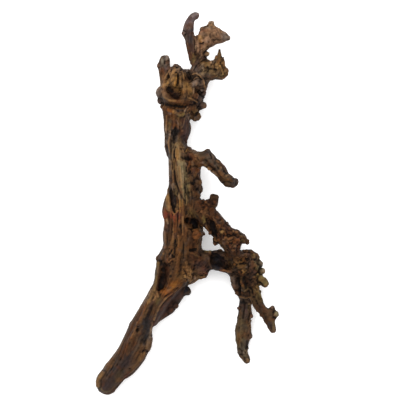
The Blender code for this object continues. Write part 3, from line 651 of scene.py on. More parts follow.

# %% [markdown]
# ## Where the leg leaves the trunk
#
# A hollow runs down the left side above the leg, painted dark as its shade, with a bright orange patch
# of fresh wood below it and a black nub beside that. The trunk's face above is straight grain in brown and
# orange-brown, and a knot wrinkles its left edge.

# %% Lower trunk
LOWER_TRUNK = [
    ("rust", 0.7, 0, 2.6, (176, 222), (176, 240), (178, 256), (178, 270)),
    ("orange", 0.55, 0, 1.6, (176, 232), (177, 240)),
    ("orange", 0.3, 0, 2, (178, 246), (180, 256)),
    ("tan", 0.4, 0.4, 0.9, (173, 220), (173.5, 242)),
    ("grey", 0.35, 1, 2, (164.4, 232), (164.4, 247)),
    ("dark", 0.6, -0.5, 0.9, (174.5, 240), (174.5, 252)),
    ("dark", 0.6, -0.5, 0.9, (183.5, 244), (183.5, 258)),
    ("dark", 0.5, 0, 2.4, (170, 226), (169, 244)),
    ("plum", 0.8, -0.4, 2.6, (167.5, 224), (167.5, 230)),
    ("pale", 0.6, 0.5, 1, (167, 219.5), (168, 223.5)),
    ("dark", 0.5, 0, 3, (188, 240), (189, 258)),
    ("dark", 0.6, 0, 2, (191, 238), (193, 245)),
    ("maroon", 0.7, -0.4, 1, (193.5, 241)),
    ("soot", 0.8, -0.8, 1, (180, 227)),
    ("tan", 0.6, 0.4, 0.9, (178.5, 226.5)),
    ("soot", 0.6, -0.6, 0.9, (172, 231.5)),
    ("soot", 0.9, -1, 1, (163.3, 242)),
    ("soot", 0.9, -1.2, 1, (168.2, 248.4)),
    ("tan", 0.5, 0.8, 1.3, (169.5, 250.5)),
    ("soot", 1, -1.6, 1.3, (171.8, 250), (169, 253.8)),
    ("grey", 0.5, 0.8, 1.6, (171, 256.5)),
    ("soot", 0.95, -1.4, 1.4, (172.8, 256.6)),
    ("tan", 0.6, 0.9, 1.1, (168.5, 262.5)),
    ("tan", 0.5, 0.8, 0.9, (170, 260.5), (174, 258.5)),
    ("soot", 0.8, -1, 1.1, (172.8, 262.4)),
    ("soot", 0.8, -1.1, 1.2, (168.4, 266.6)),
    ("maroon", 0.8, -1, 1, (171.6, 268.6)),
    ("tan", 0.6, 0.8, 1.3, (163, 253.5)),
    ("rust", 0.6, 0.6, 1.6, (166.5, 256), (167, 263)),
    ("plum", 0.7, 0.8, 2.8, (159.5, 257.5)),
    ("soot", 0.8, 0, 1.2, (157, 259.5)),
    ("maroon", 0.8, -0.6, 2.4, (164, 264), (164, 270)),
    ("maroon", 0.95, -1, 5, (166, 267), (164, 276), (161, 288)),
    ("soot", 0.75, -0.5, 3, (164, 275), (161.5, 286)),
    ("ink", 0.5, 0, 2.4, (163, 278), (161.5, 284)),
    ("soot", 0.9, -1, 1.8, (169.8, 276.5)),
    ("maroon", 0.8, 0, 1.1, (158.8, 274), (158, 289)),
    ("olive", 0.5, 1.1, 1.6, (158.2, 263), (156.8, 272), (155.8, 281), (154.2, 290)),
    ("soot", 0.7, -0.6, 1.6, (159, 289), (159.5, 294)),
    ("tan", 0.6, 0.5, 1, (157, 291.5), (158.5, 297)),
    ("rust", 0.8, 0.4, 3.4, (164, 291), (171, 293)),
    ("orange", 0.9, 0.3, 3.8, (180, 281), (171, 287), (163, 291.5)),
    ("gold", 0.35, 0, 1.3, (176, 285), (168, 290)),
    ("gold", 0.35, 0, 1, (176, 283.5), (171, 284)),
    ("tan", 0.5, 0.3, 0.9, (177, 284.5)),
    ("maroon", 0.75, -0.7, 0.8, (178, 287.5), (173, 291.5), (165, 296.5)),
    ("olive", 0.5, 0, 1.6, (161, 298), (157, 303)),
    ("plum", 0.7, 0, 2.4, (181, 290), (172, 297)),
    ("tan", 0.6, 0.7, 1.6, (186.5, 262), (188, 270)),
    ("ochre", 0.5, 0.5, 1.2, (189.5, 266), (190.5, 271)),
    ("dark", 0.8, -0.8, 0.8, (183.5, 269), (186.5, 274), (187, 280)),
    ("ochre", 0.6, 0.9, 1.5, (185, 276), (188.5, 278), (190, 282)),
    ("tan", 0.6, 0.8, 1.6, (190.5, 276), (191.5, 280)),
    ("dark", 0.7, -0.6, 0.8, (193, 274.5), (193.3, 279)),
    ("grey", 0.6, 0.8, 1.8, (195.5, 278)),
    ("dark", 0.6, 0, 4, (186, 284), (180, 279)),
    ("rust", 0.5, 0, 2.6, (174, 268), (174, 276)),
    ("tan", 0.4, 0.4, 0.9, (176.5, 269.5)),
    ("ink", 0.95, 0.8, 3.4, (187, 286.5), (187.5, 294)),
    ("soot", 1, -1.4, 1.8, (190.5, 250), (196, 249.5)),
    ("plum", 0.8, 0, 1, (195.2, 251.5)),
    ("rust", 0.5, 0, 2.4, (193, 254), (198, 256)),
    ("olive", 0.45, 0.4, 1.4, (194, 254), (198, 256.5)),
    ("maroon", 1, -1.2, 1.3, (201.5, 254.5)),
    ("plum", 0.85, 0.8, 5, (198, 264), (202, 268)),
    ("soot", 0.7, -0.7, 1.2, (195, 265.5)),
    ("soot", 0.7, -0.7, 1.1, (194.5, 270)),
    ("soot", 0.9, -1, 1.2, (206.5, 266)),
    ("red", 0.6, 0.5, 1.3, (198, 273), (207, 273.5)),
    ("tan", 0.6, 0.5, 0.8, (201.5, 272.5)),
    ("tan", 0.6, 0.5, 0.8, (206, 272.5)),
]
mark(LOWER_TRUNK)
print("lower trunk:", len(LOWER_TRUNK), "marks")

# %% [markdown]
# ## The trunk
#
# Two lobes of a hole mark the place where a branch has rotted out, with an orange knob under it, and the
# black and dark brown in the hole are painted shade. Above, a long strip of pale ochre wood is laid bare,
# with a black line of painted shade along its left edge, cracked down its middle, and warty brown bulges
# press against its right side.

# %% Hole, strip and bulges
TRUNK = [
    ("maroon", 0.9, -0.6, 3, (187, 220), (190, 222)),
    ("soot", 0.8, -0.8, 1.5, (187.5, 219.5), (187, 222)),
    ("soot", 1, -1.4, 3.2, (193.5, 221), (196, 222), (195, 226)),
    ("ink", 0.9, 0, 2.4, (193.5, 222), (195, 226)),
    ("maroon", 0.9, -0.8, 1.2, (188.5, 229), (192, 229)),
    ("tan", 0.6, 0.8, 1, (193, 230.2), (197, 228.8), (200.5, 230)),
    ("orange", 0.5, 1.2, 5.2, (197, 235.4)),
    ("rust", 0.6, 0, 5.4, (195, 236)),
    ("red", 0.4, 0, 1.2, (199, 234)),
    ("olive", 0.6, 0.5, 1.5, (202.8, 218), (204, 223)),
    ("tan", 0.6, 0.7, 0.9, (201.5, 225.5), (203.5, 229)),
    ("soot", 0.9, -0.9, 1.1, (204.8, 224.5), (204, 227.5)),
    ("slate", 0.8, 2, 2, (204.4, 234)),
    ("umber", 0.4, 1, 2, (202.6, 240)),
    ("soot", 0.7, 0, 1.4, (203, 238), (201.5, 243)),
    ("tan", 0.5, 0.5, 0.9, (183, 216), (183.2, 223), (182.6, 228), (183, 235)),
    ("dark", 0.7, -0.6, 1, (181, 225), (181.5, 232)),
    ("olive", 0.5, 0, 3, (190, 212), (196, 216)),
    ("red", 0.85, 0, 2.6, (165, 213), (168.5, 216)),
    ("red", 0.8, 0, 2.4, (172, 216), (178, 214.5)),
    ("orange", 0.4, 0, 1.4, (168, 212)),
    ("maroon", 0.6, 0, 1.2, (169, 217)),
    ("maroon", 0.7, 0, 1.4, (178, 217)),
    ("ochre", 0.85, 0.8, 2, (167.5, 197), (168, 203), (168.5, 209)),
    ("tan", 0.6, 0, 0.9, (170.6, 199), (171, 206)),
    ("dark", 0.6, 0, 1, (164.5, 201), (163.5, 210)),
    ("plum", 0.9, -0.8, 1.4, (170.6, 191), (172, 199), (172.6, 205)),
    ("soot", 1, -1.4, 1.3, (172.5, 203), (174.5, 212)),
    ("slate", 0.9, -1, 1.4, (174.6, 196), (174.8, 207)),
    ("ochre", 0.7, 0, 1, (174, 209), (175.3, 214)),
    ("ochre", 0.8, 0.4, 1.8, (177.5, 205), (177, 211)),
    ("soot", 0.7, -0.6, 0.8, (177.4, 209.4)),
    ("gold", 0.6, 0, 2.4, (181, 203), (180, 208)),
    ("rust", 0.7, 0, 1.4, (176.6, 197), (177, 202)),
    ("tan", 0.5, 0.4, 0.9, (178.5, 195), (179.5, 200)),
    ("plum", 0.75, 0, 2, (181.5, 192), (182, 196)),
    ("olive", 0.7, 0, 1.8, (175, 191), (175.5, 195)),
    ("slate", 0.85, -0.5, 1.8, (170, 179), (169.7, 192)),
    ("dark", 0.8, -0.6, 0.9, (170, 164), (170.4, 171), (171, 178.5)),
    ("tan", 0.6, 0, 1.4, (172, 160), (172.2, 170)),
    ("grey", 0.5, 0, 1, (169, 166), (168.9, 178)),
    ("soot", 0.6, -0.4, 0.8, (172.2, 180), (172.4, 184)),
    ("straw", 0.6, 0, 4, (177, 147), (177.5, 160), (178.5, 172), (181, 184), (184, 194)),
    ("tan", 0.6, 0.5, 1.1, (176, 149), (175.6, 156)),
    ("tan", 0.6, 0.5, 1.3, (179.5, 168), (180.4, 178), (182, 187)),
    ("gold", 0.7, 0, 1.6, (177.4, 150), (178, 159)),
    ("gold", 0.8, 0, 1.3, (174.3, 161), (175, 169)),
    ("sage", 0.6, 0, 3, (182.5, 161), (184, 172), (185, 184), (186.5, 197)),
    ("pale", 0.35, 0, 1.6, (182.5, 172), (183.5, 183)),
    ("olive", 0.6, 0.4, 2.4, (187.5, 180), (188, 190)),
    ("olive", 0.5, 0, 2, (187, 192), (186.5, 204)),
    ("tan", 0.6, 0.5, 0.8, (185.6, 194), (186.8, 200), (186, 205)),
    ("maroon", 0.9, -0.8, 1.2, (174, 171), (174.6, 178), (176, 184), (178.4, 190), (181, 195.4), (184, 200)),
    ("rust", 0.6, 0, 1, (175.6, 160), (176.6, 172), (178.4, 183), (181.6, 192)),
    ("rust", 0.7, -0.5, 0.9, (175.3, 158), (176, 162), (177.2, 165.5)),
    ("rust", 0.6, -0.4, 0.7, (172.6, 162), (172.3, 168.5)),
    ("dark", 0.5, -0.4, 0.8, (179, 168), (179.4, 176), (180, 183)),
    ("tan", 0.7, 0.6, 0.9, (172.8, 171), (173.1, 178), (172.6, 185), (173.3, 189)),
    ("grey", 0.5, 0.4, 1.4, (173, 184), (173.5, 190)),
    ("dark", 0.7, -0.4, 0.9, (186, 183)),
    ("dark", 0.45, -0.2, 0.9, (188.8, 183)),
    ("dark", 0.39, -0.2, 0.9, (188.3, 192)),
    ("plum", 0.85, -0.7, 3, (183, 156.5), (189, 158)),
    ("soot", 0.6, -0.4, 1.3, (184, 158.6), (190, 159.6)),
    ("grey", 0.5, 0.5, 0.8, (185.6, 163), (186.4, 166)),
    ("dark", 0.59, 0.2, 2.4, (189, 169.5)),
    ("tan", 0.39, 0.3, 0.8, (188, 166), (187.3, 169), (188, 172.5)),
    ("maroon", 0.59, -0.4, 0.9, (190.8, 166), (191.8, 169.4)),
    ("maroon", 0.65, -0.65, 1.5, (191.2, 173)),
    ("soot", 0.65, -0.7, 1, (191, 175.3)),
    ("tan", 0.33, 0.4, 1.3, (191.8, 177.4)),
    ("ochre", 0.39, 0.35, 1.4, (192.6, 162), (192.7, 167)),
    ("orange", 0.55, 0.3, 2.6, (196.4, 164)),
    ("tan", 0.23, 0.1, 1.4, (197.8, 167.2)),
    ("rust", 0.6, 1.2, 4.8, (196, 171)),
    ("plum", 0.8, 0, 1.8, (199.4, 174), (199.3, 179)),
    ("soot", 0.52, -0.5, 1.2, (199.6, 179.5)),
    ("soot", 0.65, -0.9, 2.1, (193.5, 183.2)),
    ("umber", 0.75, 1.8, 4.6, (198.8, 184)),
    ("maroon", 0.59, -0.4, 1.2, (198.2, 186.4)),
    ("soot", 0.65, -0.6, 1.4, (198.2, 189.2)),
    ("tan", 0.33, 0.15, 0.8, (200, 183.2)),
    ("soot", 0.59, -0.5, 1.1, (201.3, 192.4)),
    ("plum", 0.39, 0.35, 2, (200.6, 189)),
    ("soot", 0.45, -0.4, 0.9, (191.3, 192), (192.4, 198)),
    ("maroon", 0.52, -0.4, 1, (194, 190.5)),
    ("maroon", 0.45, -0.35, 0.9, (195.6, 193)),
    ("plum", 0.7, 0, 2, (190, 198)),
    ("tan", 0.33, 0.3, 1, (193, 199.5)),
    ("soot", 0.45, -0.35, 0.9, (196.6, 196.5)),
    ("plum", 0.9, 0, 4.2, (186, 120), (187.4, 130), (184.5, 141)),
    ("slate", 0.8, -0.5, 3.4, (175.5, 130), (175, 141)),
    ("soot", 0.3, -0.2, 2, (178.6, 131), (180.4, 137)),
    ("ink", 0.7, -0.4, 1.6, (173.6, 137), (174, 142)),
    ("dark", 0.7, 0, 2, (181, 120), (180.6, 128)),
    ("tan", 0.45, 0.5, 0.8, (185.5, 116), (184, 121), (183, 126), (181.8, 127.4)),
    ("grey", 0.4, 0.4, 0.8, (176, 120), (178.3, 123.5), (178, 129)),
    ("rust", 0.9, 0, 3, (173, 121), (174.3, 126)),
    ("orange", 0.4, 0, 1.2, (175.5, 127.5)),
    ("olive", 0.6, 0, 2, (170.3, 120), (169, 128)),
    ("tan", 0.6, 0.6, 1, (166.8, 116), (166.5, 124), (165.8, 133)),
    ("dark", 0.5, 0, 1, (169, 114), (170.5, 121)),
    ("tan", 0.5, 0.6, 1.2, (183, 131.5)),
    ("soot", 0.8, -0.6, 1, (184.6, 136.5)),
    ("soot", 0.9, 0, 0.8, (189, 123), (189.6, 131), (188, 139)),
    ("maroon", 0.8, -0.5, 1, (172.4, 130), (172.6, 135)),
    ("grey", 0.6, 0.6, 1.4, (170, 134)),
    ("tan", 0.5, 0.6, 0.85, (170.4, 131), (169.6, 138), (168.5, 142.5), (169.2, 148), (169.9, 153)),
    ("soot", 0.9, -1, 1.4, (166.8, 131.5), (166.2, 138.5)),
    ("ink", 0.9, -0.9, 1.6, (166.6, 144.5), (168, 152), (168.6, 158.5)),
    ("grey", 0.5, 0, 0.9, (167, 139.5), (167, 143)),
    ("tan", 0.5, 0, 2.6, (179.3, 139), (180.5, 144)),
    ("tan", 0.45, 0.4, 0.9, (176.4, 142.5), (174.6, 147), (172.7, 152), (172.3, 159)),
    ("dark", 0.7, -0.6, 0.8, (174.4, 150.5), (174, 158)),
    ("dark", 0.6, -0.5, 0.9, (171.3, 140), (170.6, 150), (170.8, 160)),
    ("olive", 0.6, 0, 1.4, (177.5, 143.5)),
    ("maroon", 1, -0.9, 1.4, (181.7, 148.4)),
    ("maroon", 0.8, -0.5, 1, (182.3, 152)),
    ("rust", 0.6, 0.5, 1.8, (183.6, 151)),
    ("tan", 0.5, 0.5, 1.1, (184, 147)),
    ("gold", 0.7, 0.8, 0.8, (186, 151.8), (187.3, 149.6), (189, 151)),
    ("soot", 1, -1.1, 1.4, (187, 147.4)),
    ("soot", 0.8, -0.6, 1.1, (188.8, 149.2)),
    ("tan", 0.5, 0.8, 1.5, (190.6, 150.6)),
    ("soot", 0.8, 0, 1, (191, 148.4)),
    ("rust", 0.5, 0, 2, (193, 154)),
    ("maroon", 0.7, -0.5, 0.9, (194.4, 153.4)),
]
mark(TRUNK)
print("trunk:", len(TRUNK), "marks, relief from", round(relief.min(), 1), "to", round(relief.max(), 1), "mm")

# %% [markdown]
# ## The burl
#
# The burl is where the root once split many times. Ochre ridges run up from a hollow like the folds of a
# curtain, a smooth reddish bowl lies below it, small knobs crowd its right side, and a crevice parts it
# from the trunk. The dark of the hollow and the black of the crevice are painted shade.

# %% Burl
BURL = [
    ("gold", 0.8, 1.2, 2, (174.5, 69), (173, 74), (172, 79), (168.6, 82)),
    ("tan", 0.6, 0, 1, (174.5, 69), (173, 74), (172, 79)),
    ("gold", 0.9, 0.8, 1.8, (165.5, 81.5), (162.6, 86)),
    ("gold", 0.85, 1, 1.7, (176, 75), (175, 85)),
    ("maroon", 0.7, -0.9, 0.9, (177.5, 76), (177.8, 84)),
    ("tan", 0.7, 0.9, 1, (180, 74), (180.4, 87)),
    ("dark", 0.7, -0.8, 0.9, (182.4, 78), (182.6, 88)),
    ("tan", 0.6, 0.8, 0.9, (181.8, 71.5), (183.4, 74), (184, 79)),
    ("ochre", 0.75, 0, 4, (184, 87), (190, 90)),
    ("gold", 0.6, 0, 2.4, (187, 86), (190, 91)),
    ("orange", 0.4, 0, 2.6, (178, 91), (183, 92)),
    ("tan", 0.8, 0.8, 0.85, (170, 70), (166.5, 75), (164.3, 79)),
    ("maroon", 0.95, -1, 1.9, (168.2, 76.5)),
    ("soot", 0.7, -0.5, 1, (166.5, 78.5)),
    ("rust", 0.6, 0, 2.4, (163, 70), (163.4, 75)),
    ("dark", 0.6, 0, 1.2, (160, 72), (160.5, 80)),
    ("soot", 0.9, -0.8, 1, (166.6, 87)),
    ("maroon", 0.9, -0.6, 3, (168.5, 90), (173, 94)),
    ("maroon", 1, -0.8, 3.4, (170.5, 89.6), (173.5, 94.5), (177.5, 97.5)),
    ("ink", 0.4, 0, 1.8, (170.6, 89.6)),
    ("ochre", 0.5, 0.5, 1.6, (163, 92), (164, 97)),
    ("grey", 0.5, 0.8, 2.4, (159, 88), (158.4, 95)),
    ("umber", 0.4, 2.6, 2.8, (161.4, 106.4)),
    ("plum", 0.7, 0, 2.4, (157.6, 97), (160, 103)),
    ("soot", 0.6, 0, 1, (157.4, 99)),
    ("umber", 0.75, 0.4, 3, (170, 100.6), (182, 102.6), (190, 100.6)),
    ("rust", 0.4, 0, 1.2, (174, 101.5), (182, 103)),
    ("ochre", 0.5, 0.5, 1, (165, 98), (170, 100.6), (176, 101)),
    ("tan", 0.75, 0.9, 0.9, (188, 97.6), (193, 99.6), (197, 102)),
    ("soot", 0.8, -0.8, 1, (190.5, 101.6), (194, 102.4)),
    ("soot", 0.7, -0.4, 1, (185, 94)),
    ("olive", 0.5, 0, 2, (191, 94)),
    ("soot", 0.9, -0.6, 1.1, (166, 104.6), (172, 106), (177, 105.6)),
    ("maroon", 0.9, -0.5, 1.2, (179, 106.4), (187, 106.6), (195, 104)),
    ("pale", 0.7, 0.5, 0.8, (187.4, 107), (184.6, 111)),
    ("orange", 0.7, 0.7, 2, (168.6, 110), (172.5, 111)),
    ("grey", 0.6, 0, 1, (169, 113), (172, 113.6)),
    ("gold", 0.6, 0.5, 1.6, (173.5, 111), (176, 112)),
    ("slate", 0.9, -0.7, 1.5, (177.6, 110.6), (182.6, 110.4)),
    ("olive", 0.9, 0.8, 1.6, (178, 114.5), (181, 115.6), (184, 114)),
    ("rust", 0.8, 0.7, 1.8, (187, 114.4)),
    ("plum", 0.7, 0, 1.6, (188.6, 117.6)),
    ("dark", 0.9, 0.8, 2, (157.5, 66)),
    ("maroon", 0.7, 0.9, 1.6, (177.5, 65)),
    ("dark", 0.8, 0.6, 1.4, (179.5, 67.6)),
    ("pale", 0.6, 0.5, 0.9, (176.4, 69.4), (180, 69)),
    ("soot", 0.95, -1, 1.4, (177, 72)),
    ("soot", 0.9, 0.6, 1.3, (183.6, 69.4)),
    ("dark", 0.7, 0.5, 1.4, (172, 67)),
    ("grey", 0.7, 0.9, 1.7, (187, 70.6)),
    ("umber", 0.5, 1.3, 1.8, (190.8, 67.6)),
    ("soot", 0.9, 0, 1, (188.6, 69)),
    ("tan", 0.6, 0.5, 0.8, (184.6, 72.6), (185.6, 75)),
    ("soot", 0.7, -1.3, 2, (186.4, 77.6), (190, 78)),
    ("slate", 0.9, 0, 1.4, (191, 73.4)),
    ("soot", 1, -1, 1.1, (193, 78.2)),
    ("soot", 0.9, -0.8, 1, (195.2, 76.6)),
    ("tan", 0.85, 0.9, 0.85, (192.6, 74.4), (196.4, 73), (199.6, 75.4), (203, 79), (204, 84), (205, 88)),
    ("tan", 0.7, 0.8, 0.8, (193.8, 79.6), (196.4, 77.4), (199, 77.6)),
    ("soot", 0.95, -0.9, 0.8, (198.4, 77), (201.4, 79.6)),
    ("soot", 0.8, -0.8, 1.1, (200, 80.5), (201, 83.6)),
    ("grey", 0.35, 0.7, 3.8, (194.3, 82.4)),
    ("tan", 0.5, 0, 1.4, (197.6, 84)),
    ("maroon", 1, -1.2, 1.9, (197.4, 91)),
    ("pale", 0.5, 0.6, 0.8, (194, 88.6), (193.6, 93.4)),
    ("dark", 0.9, 1, 1.6, (205.6, 87)),
    ("maroon", 0.7, 0.8, 1.5, (202, 87.6)),
    ("grey", 0.6, 0.9, 1.5, (202, 91)),
    ("slate", 0.9, 2, 2.3, (204.6, 94.5)),
    ("maroon", 0.8, 0.6, 1.3, (200.6, 98)),
    ("rust", 0.6, 0.6, 1.2, (198, 98.4)),
    ("plum", 0.95, 1.6, 3.3, (203.3, 104.6)),
    ("soot", 0.8, -1.6, 1.3, (199, 107.6)),
    ("maroon", 0.9, -0.6, 1.5, (192, 112.6)),
    ("gold", 0.7, 0.7, 1.2, (190.4, 113.4)),
    ("tan", 0.6, 0.7, 1.3, (194.4, 113)),
    ("dark", 0.9, 1.2, 2, (197.3, 110.6)),
    ("dark", 0.9, 1, 1.8, (199, 114)),
    ("soot", 0.8, -0.8, 1, (195.6, 115.8)),
    ("slate", 0.8, 1.2, 2.6, (196, 119)),
    ("pale", 0.6, 0.5, 1, (191, 116.8)),
    ("soot", 0.7, -2.4, 1.7, (191.5, 121)),
]
mark(BURL)
print("burl:", len(BURL), "marks")

# %% [markdown]
# ## Horn and heads
#
# Above the burl the root ends in a smooth hooked twig of grey-purple wood and two pitted heads the colour
# of dry clay, where the water has worn the wood away round its hard knots. On the left stands a short
# stub with two rounded ends.

# %% Horn, heads and left stub
TOP = [
    ("lilac", 0.7, 0, 1.8, (196, 13.6), (191, 17), (187.4, 24)),
    ("slate", 0.8, 0, 1.8, (197, 17), (193.5, 21)),
    ("rust", 0.5, 0, 1.1, (191, 17.6), (189.6, 21)),
    ("slate", 0.8, 0, 1.6, (191.4, 25), (190.8, 32)),
    ("rust", 0.7, 0, 1.4, (187, 27), (186.4, 32)),
    ("plum", 0.6, 1.7, 2, (183, 33.4)),
    ("slate", 0.8, 0, 3, (188, 35), (191, 39)),
    ("dark", 0.5, 0, 2, (191, 42), (190.6, 50)),
    ("tan", 0.4, 0, 0.9, (187.6, 43), (187.8, 52)),
    ("maroon", 0.9, -0.7, 1.3, (195.2, 52), (195.2, 55)),
    ("soot", 0.7, -0.6, 0.8, (194.6, 40), (194.9, 50)),
    ("pale", 0.5, 0.4, 0.9, (195.6, 46), (195.6, 49)),
    ("olive", 0.85, 0, 2.4, (193.6, 57), (193.4, 60.4)),
    ("tan", 0.5, 0, 1.1, (192.4, 53.4)),
    ("plum", 0.7, 0, 3, (196, 64), (198, 68)),
    ("grey", 0.45, 0, 2, (194, 68), (199, 72)),
    ("gold", 0.85, 0.8, 2.2, (200, 37), (200.4, 41)),
    ("pale", 0.7, 0, 1.1, (199.4, 37.4)),
    ("orange", 0.5, 0, 2, (200.4, 42), (200.6, 49)),
    ("clay", 0.7, 0.5, 1.1, (197.6, 41), (197.8, 52)),
    ("dark", 0.7, -0.4, 1.2, (200, 50), (199.6, 56)),
    ("ochre", 0.5, 0, 1.5, (202.6, 49), (203.6, 53)),
    ("dark", 0.6, -0.5, 0.9, (202.8, 49.4)),
    ("olive", 0.6, 3.1, 2.5, (207, 54)),
    ("plum", 0.9, 0, 2.4, (203, 58), (206, 57)),
    ("soot", 0.6, 0, 1, (202, 61), (206, 59.4)),
    ("grey", 0.7, 1.4, 2.8, (200.6, 28)),
    ("clay", 0.6, 0.9, 2.4, (208, 23)),
    ("tan", 0.6, 0.9, 1.8, (214.4, 26.4)),
    ("dark", 0.39, 0.6, 2, (222.5, 41.6)),
    ("dark", 0.33, -0.18, 1.3, (205, 28)),
    ("dark", 0.7, 0, 1, (199.6, 29), (199.2, 33)),
    ("red", 0.5, 0, 1.8, (203, 30.4), (206, 31)),
    ("orange", 0.9, 0.6, 1.7, (211.2, 25)),
    ("orange", 0.7, 0.4, 1.1, (212.8, 26.8)),
    ("pale", 0.6, 0.5, 1.1, (208.8, 25), (209.8, 27.6)),
    ("grey", 0.7, 0, 1.4, (210.6, 21.6), (213, 22)),
    ("olive", 0.6, 0, 1.2, (214.4, 24.6)),
    ("dark", 0.7, -0.5, 0.9, (213, 23)),
    ("dark", 0.26, -0.18, 1, (211.5, 29.6), (211.8, 33)),
    ("tan", 0.6, 0.6, 1.6, (209, 33.4)),
    ("tan", 0.5, 0.6, 1.5, (214.4, 33)),
    ("dark", 0.45, -0.36, 1, (216.4, 33), (216.6, 35.2)),
    ("dark", 0.45, -0.42, 1.3, (217.6, 29.4)),
    ("dark", 0.39, 0, 0.9, (220, 30), (223.4, 32.4)),
    ("tan", 0.6, 0.6, 1.1, (222, 31.6)),
    ("orange", 0.4, 0.5, 2, (218.5, 37.6)),
    ("dark", 0.39, -0.3, 0.9, (220, 34), (223, 34.6)),
    ("tan", 0.6, 0.5, 1.3, (213, 37.6)),
    ("dark", 0.33, -0.18, 0.9, (210.6, 36.2)),
    ("dark", 0.33, -0.18, 1, (212.4, 39.6), (211.6, 42.6)),
    ("grey", 0.5, 0, 1.7, (207.4, 42)),
    ("dark", 0.26, -0.18, 0.9, (204.6, 39.4)),
    ("olive", 0.6, 0, 1.8, (206, 46.4)),
    ("dark", 0.75, 0, 1, (208, 47.6), (214.5, 44), (218, 42), (223, 42)),
    ("rust", 0.5, 0, 1, (203, 44), (201.6, 47)),
    ("pale", 0.9, 0.5, 1.9, (226.4, 37.4)),
    ("grey", 0.8, 0, 1.2, (224.6, 36), (226, 39.5)),
    ("soot", 0.85, 0, 0.8, (226.4, 35), (228.4, 35.2)),
    ("olive", 0.7, 0, 2.6, (206.6, 64), (209, 70)),
    ("dark", 0.6, 0, 1.2, (203, 61.4), (208, 61)),
    ("orange", 0.5, 0.6, 1.7, (205.4, 66.4)),
    ("pale", 0.5, 0.5, 0.9, (202.6, 67), (203.8, 70.4)),
    ("soot", 0.85, -0.8, 1.3, (211.4, 65.4)),
    ("tan", 0.6, 0.8, 1.4, (211.6, 62)),
    ("olive", 0.6, 0.8, 1.8, (215.6, 64.4)),
    ("orange", 0.6, 0.5, 2.4, (219, 62)),
    ("gold", 0.75, 0.9, 1, (219.6, 66), (222, 70), (223, 74.6)),
    ("maroon", 0.9, -0.9, 1.8, (214.6, 70)),
    ("plum", 0.8, 0.6, 1.6, (216.6, 73.4)),
    ("slate", 0.8, 0.9, 2.4, (226.2, 71)),
    ("soot", 0.9, 0, 1.1, (226, 75)),
    ("olive", 0.6, 0.6, 1.4, (221, 76.6)),
    ("soot", 0.95, -1, 1, (218.6, 77.2)),
    ("soot", 0.7, -0.8, 0.9, (221.6, 72.6)),
    ("dark", 0.8, 0, 1.8, (211, 77.4), (215, 77.6)),
    ("plum", 0.6, 0, 1.8, (206, 75), (210, 76)),
    ("dark", 0.6, -0.5, 0.9, (209.4, 67)),
    ("dark", 0.85, 0, 1.8, (220, 48), (219, 54), (216.6, 58)),
    ("dark", 0.8, 1, 1.6, (219.8, 50)),
    ("tan", 0.5, 1, 2, (215.6, 56.4)),
    ("dark", 0.8, 1.2, 1.1, (223.4, 57.4)),
    ("olive", 0.6, 0, 1, (219, 54), (219, 58)),
    ("soot", 0.9, 0, 1, (220, 49.5)),
    ("soot", 0.8, 0, 1.2, (223.7, 56), (223.4, 61)),
    ("grey", 0.7, 0.5, 3, (162.4, 58.5)),
    ("grey", 0.7, 0.5, 2.6, (167.5, 58)),
    ("tan", 0.4, 0, 1.2, (166.4, 58.5)),
    ("dark", 0.8, -0.7, 0.9, (164.9, 57), (164.7, 63)),
    ("dark", 0.6, 0, 0.9, (160.4, 58)),
    ("grey", 0.5, 0, 1, (167, 63.6)),
    ("slate", 0.6, 0, 1.8, (166.6, 66)),
    ("plum", 0.9, 1.1, 2.2, (157.8, 65)),
    ("grey", 0.5, 0.9, 3, (167.6, 57)),
    ("grey", 0.5, 1, 6, (157.5, 94)),
    ("rust", 0.5, 0, 2.6, (162.6, 67), (162.6, 72)),
]
mark(TOP)
print("horn and heads:", len(TOP), "marks")
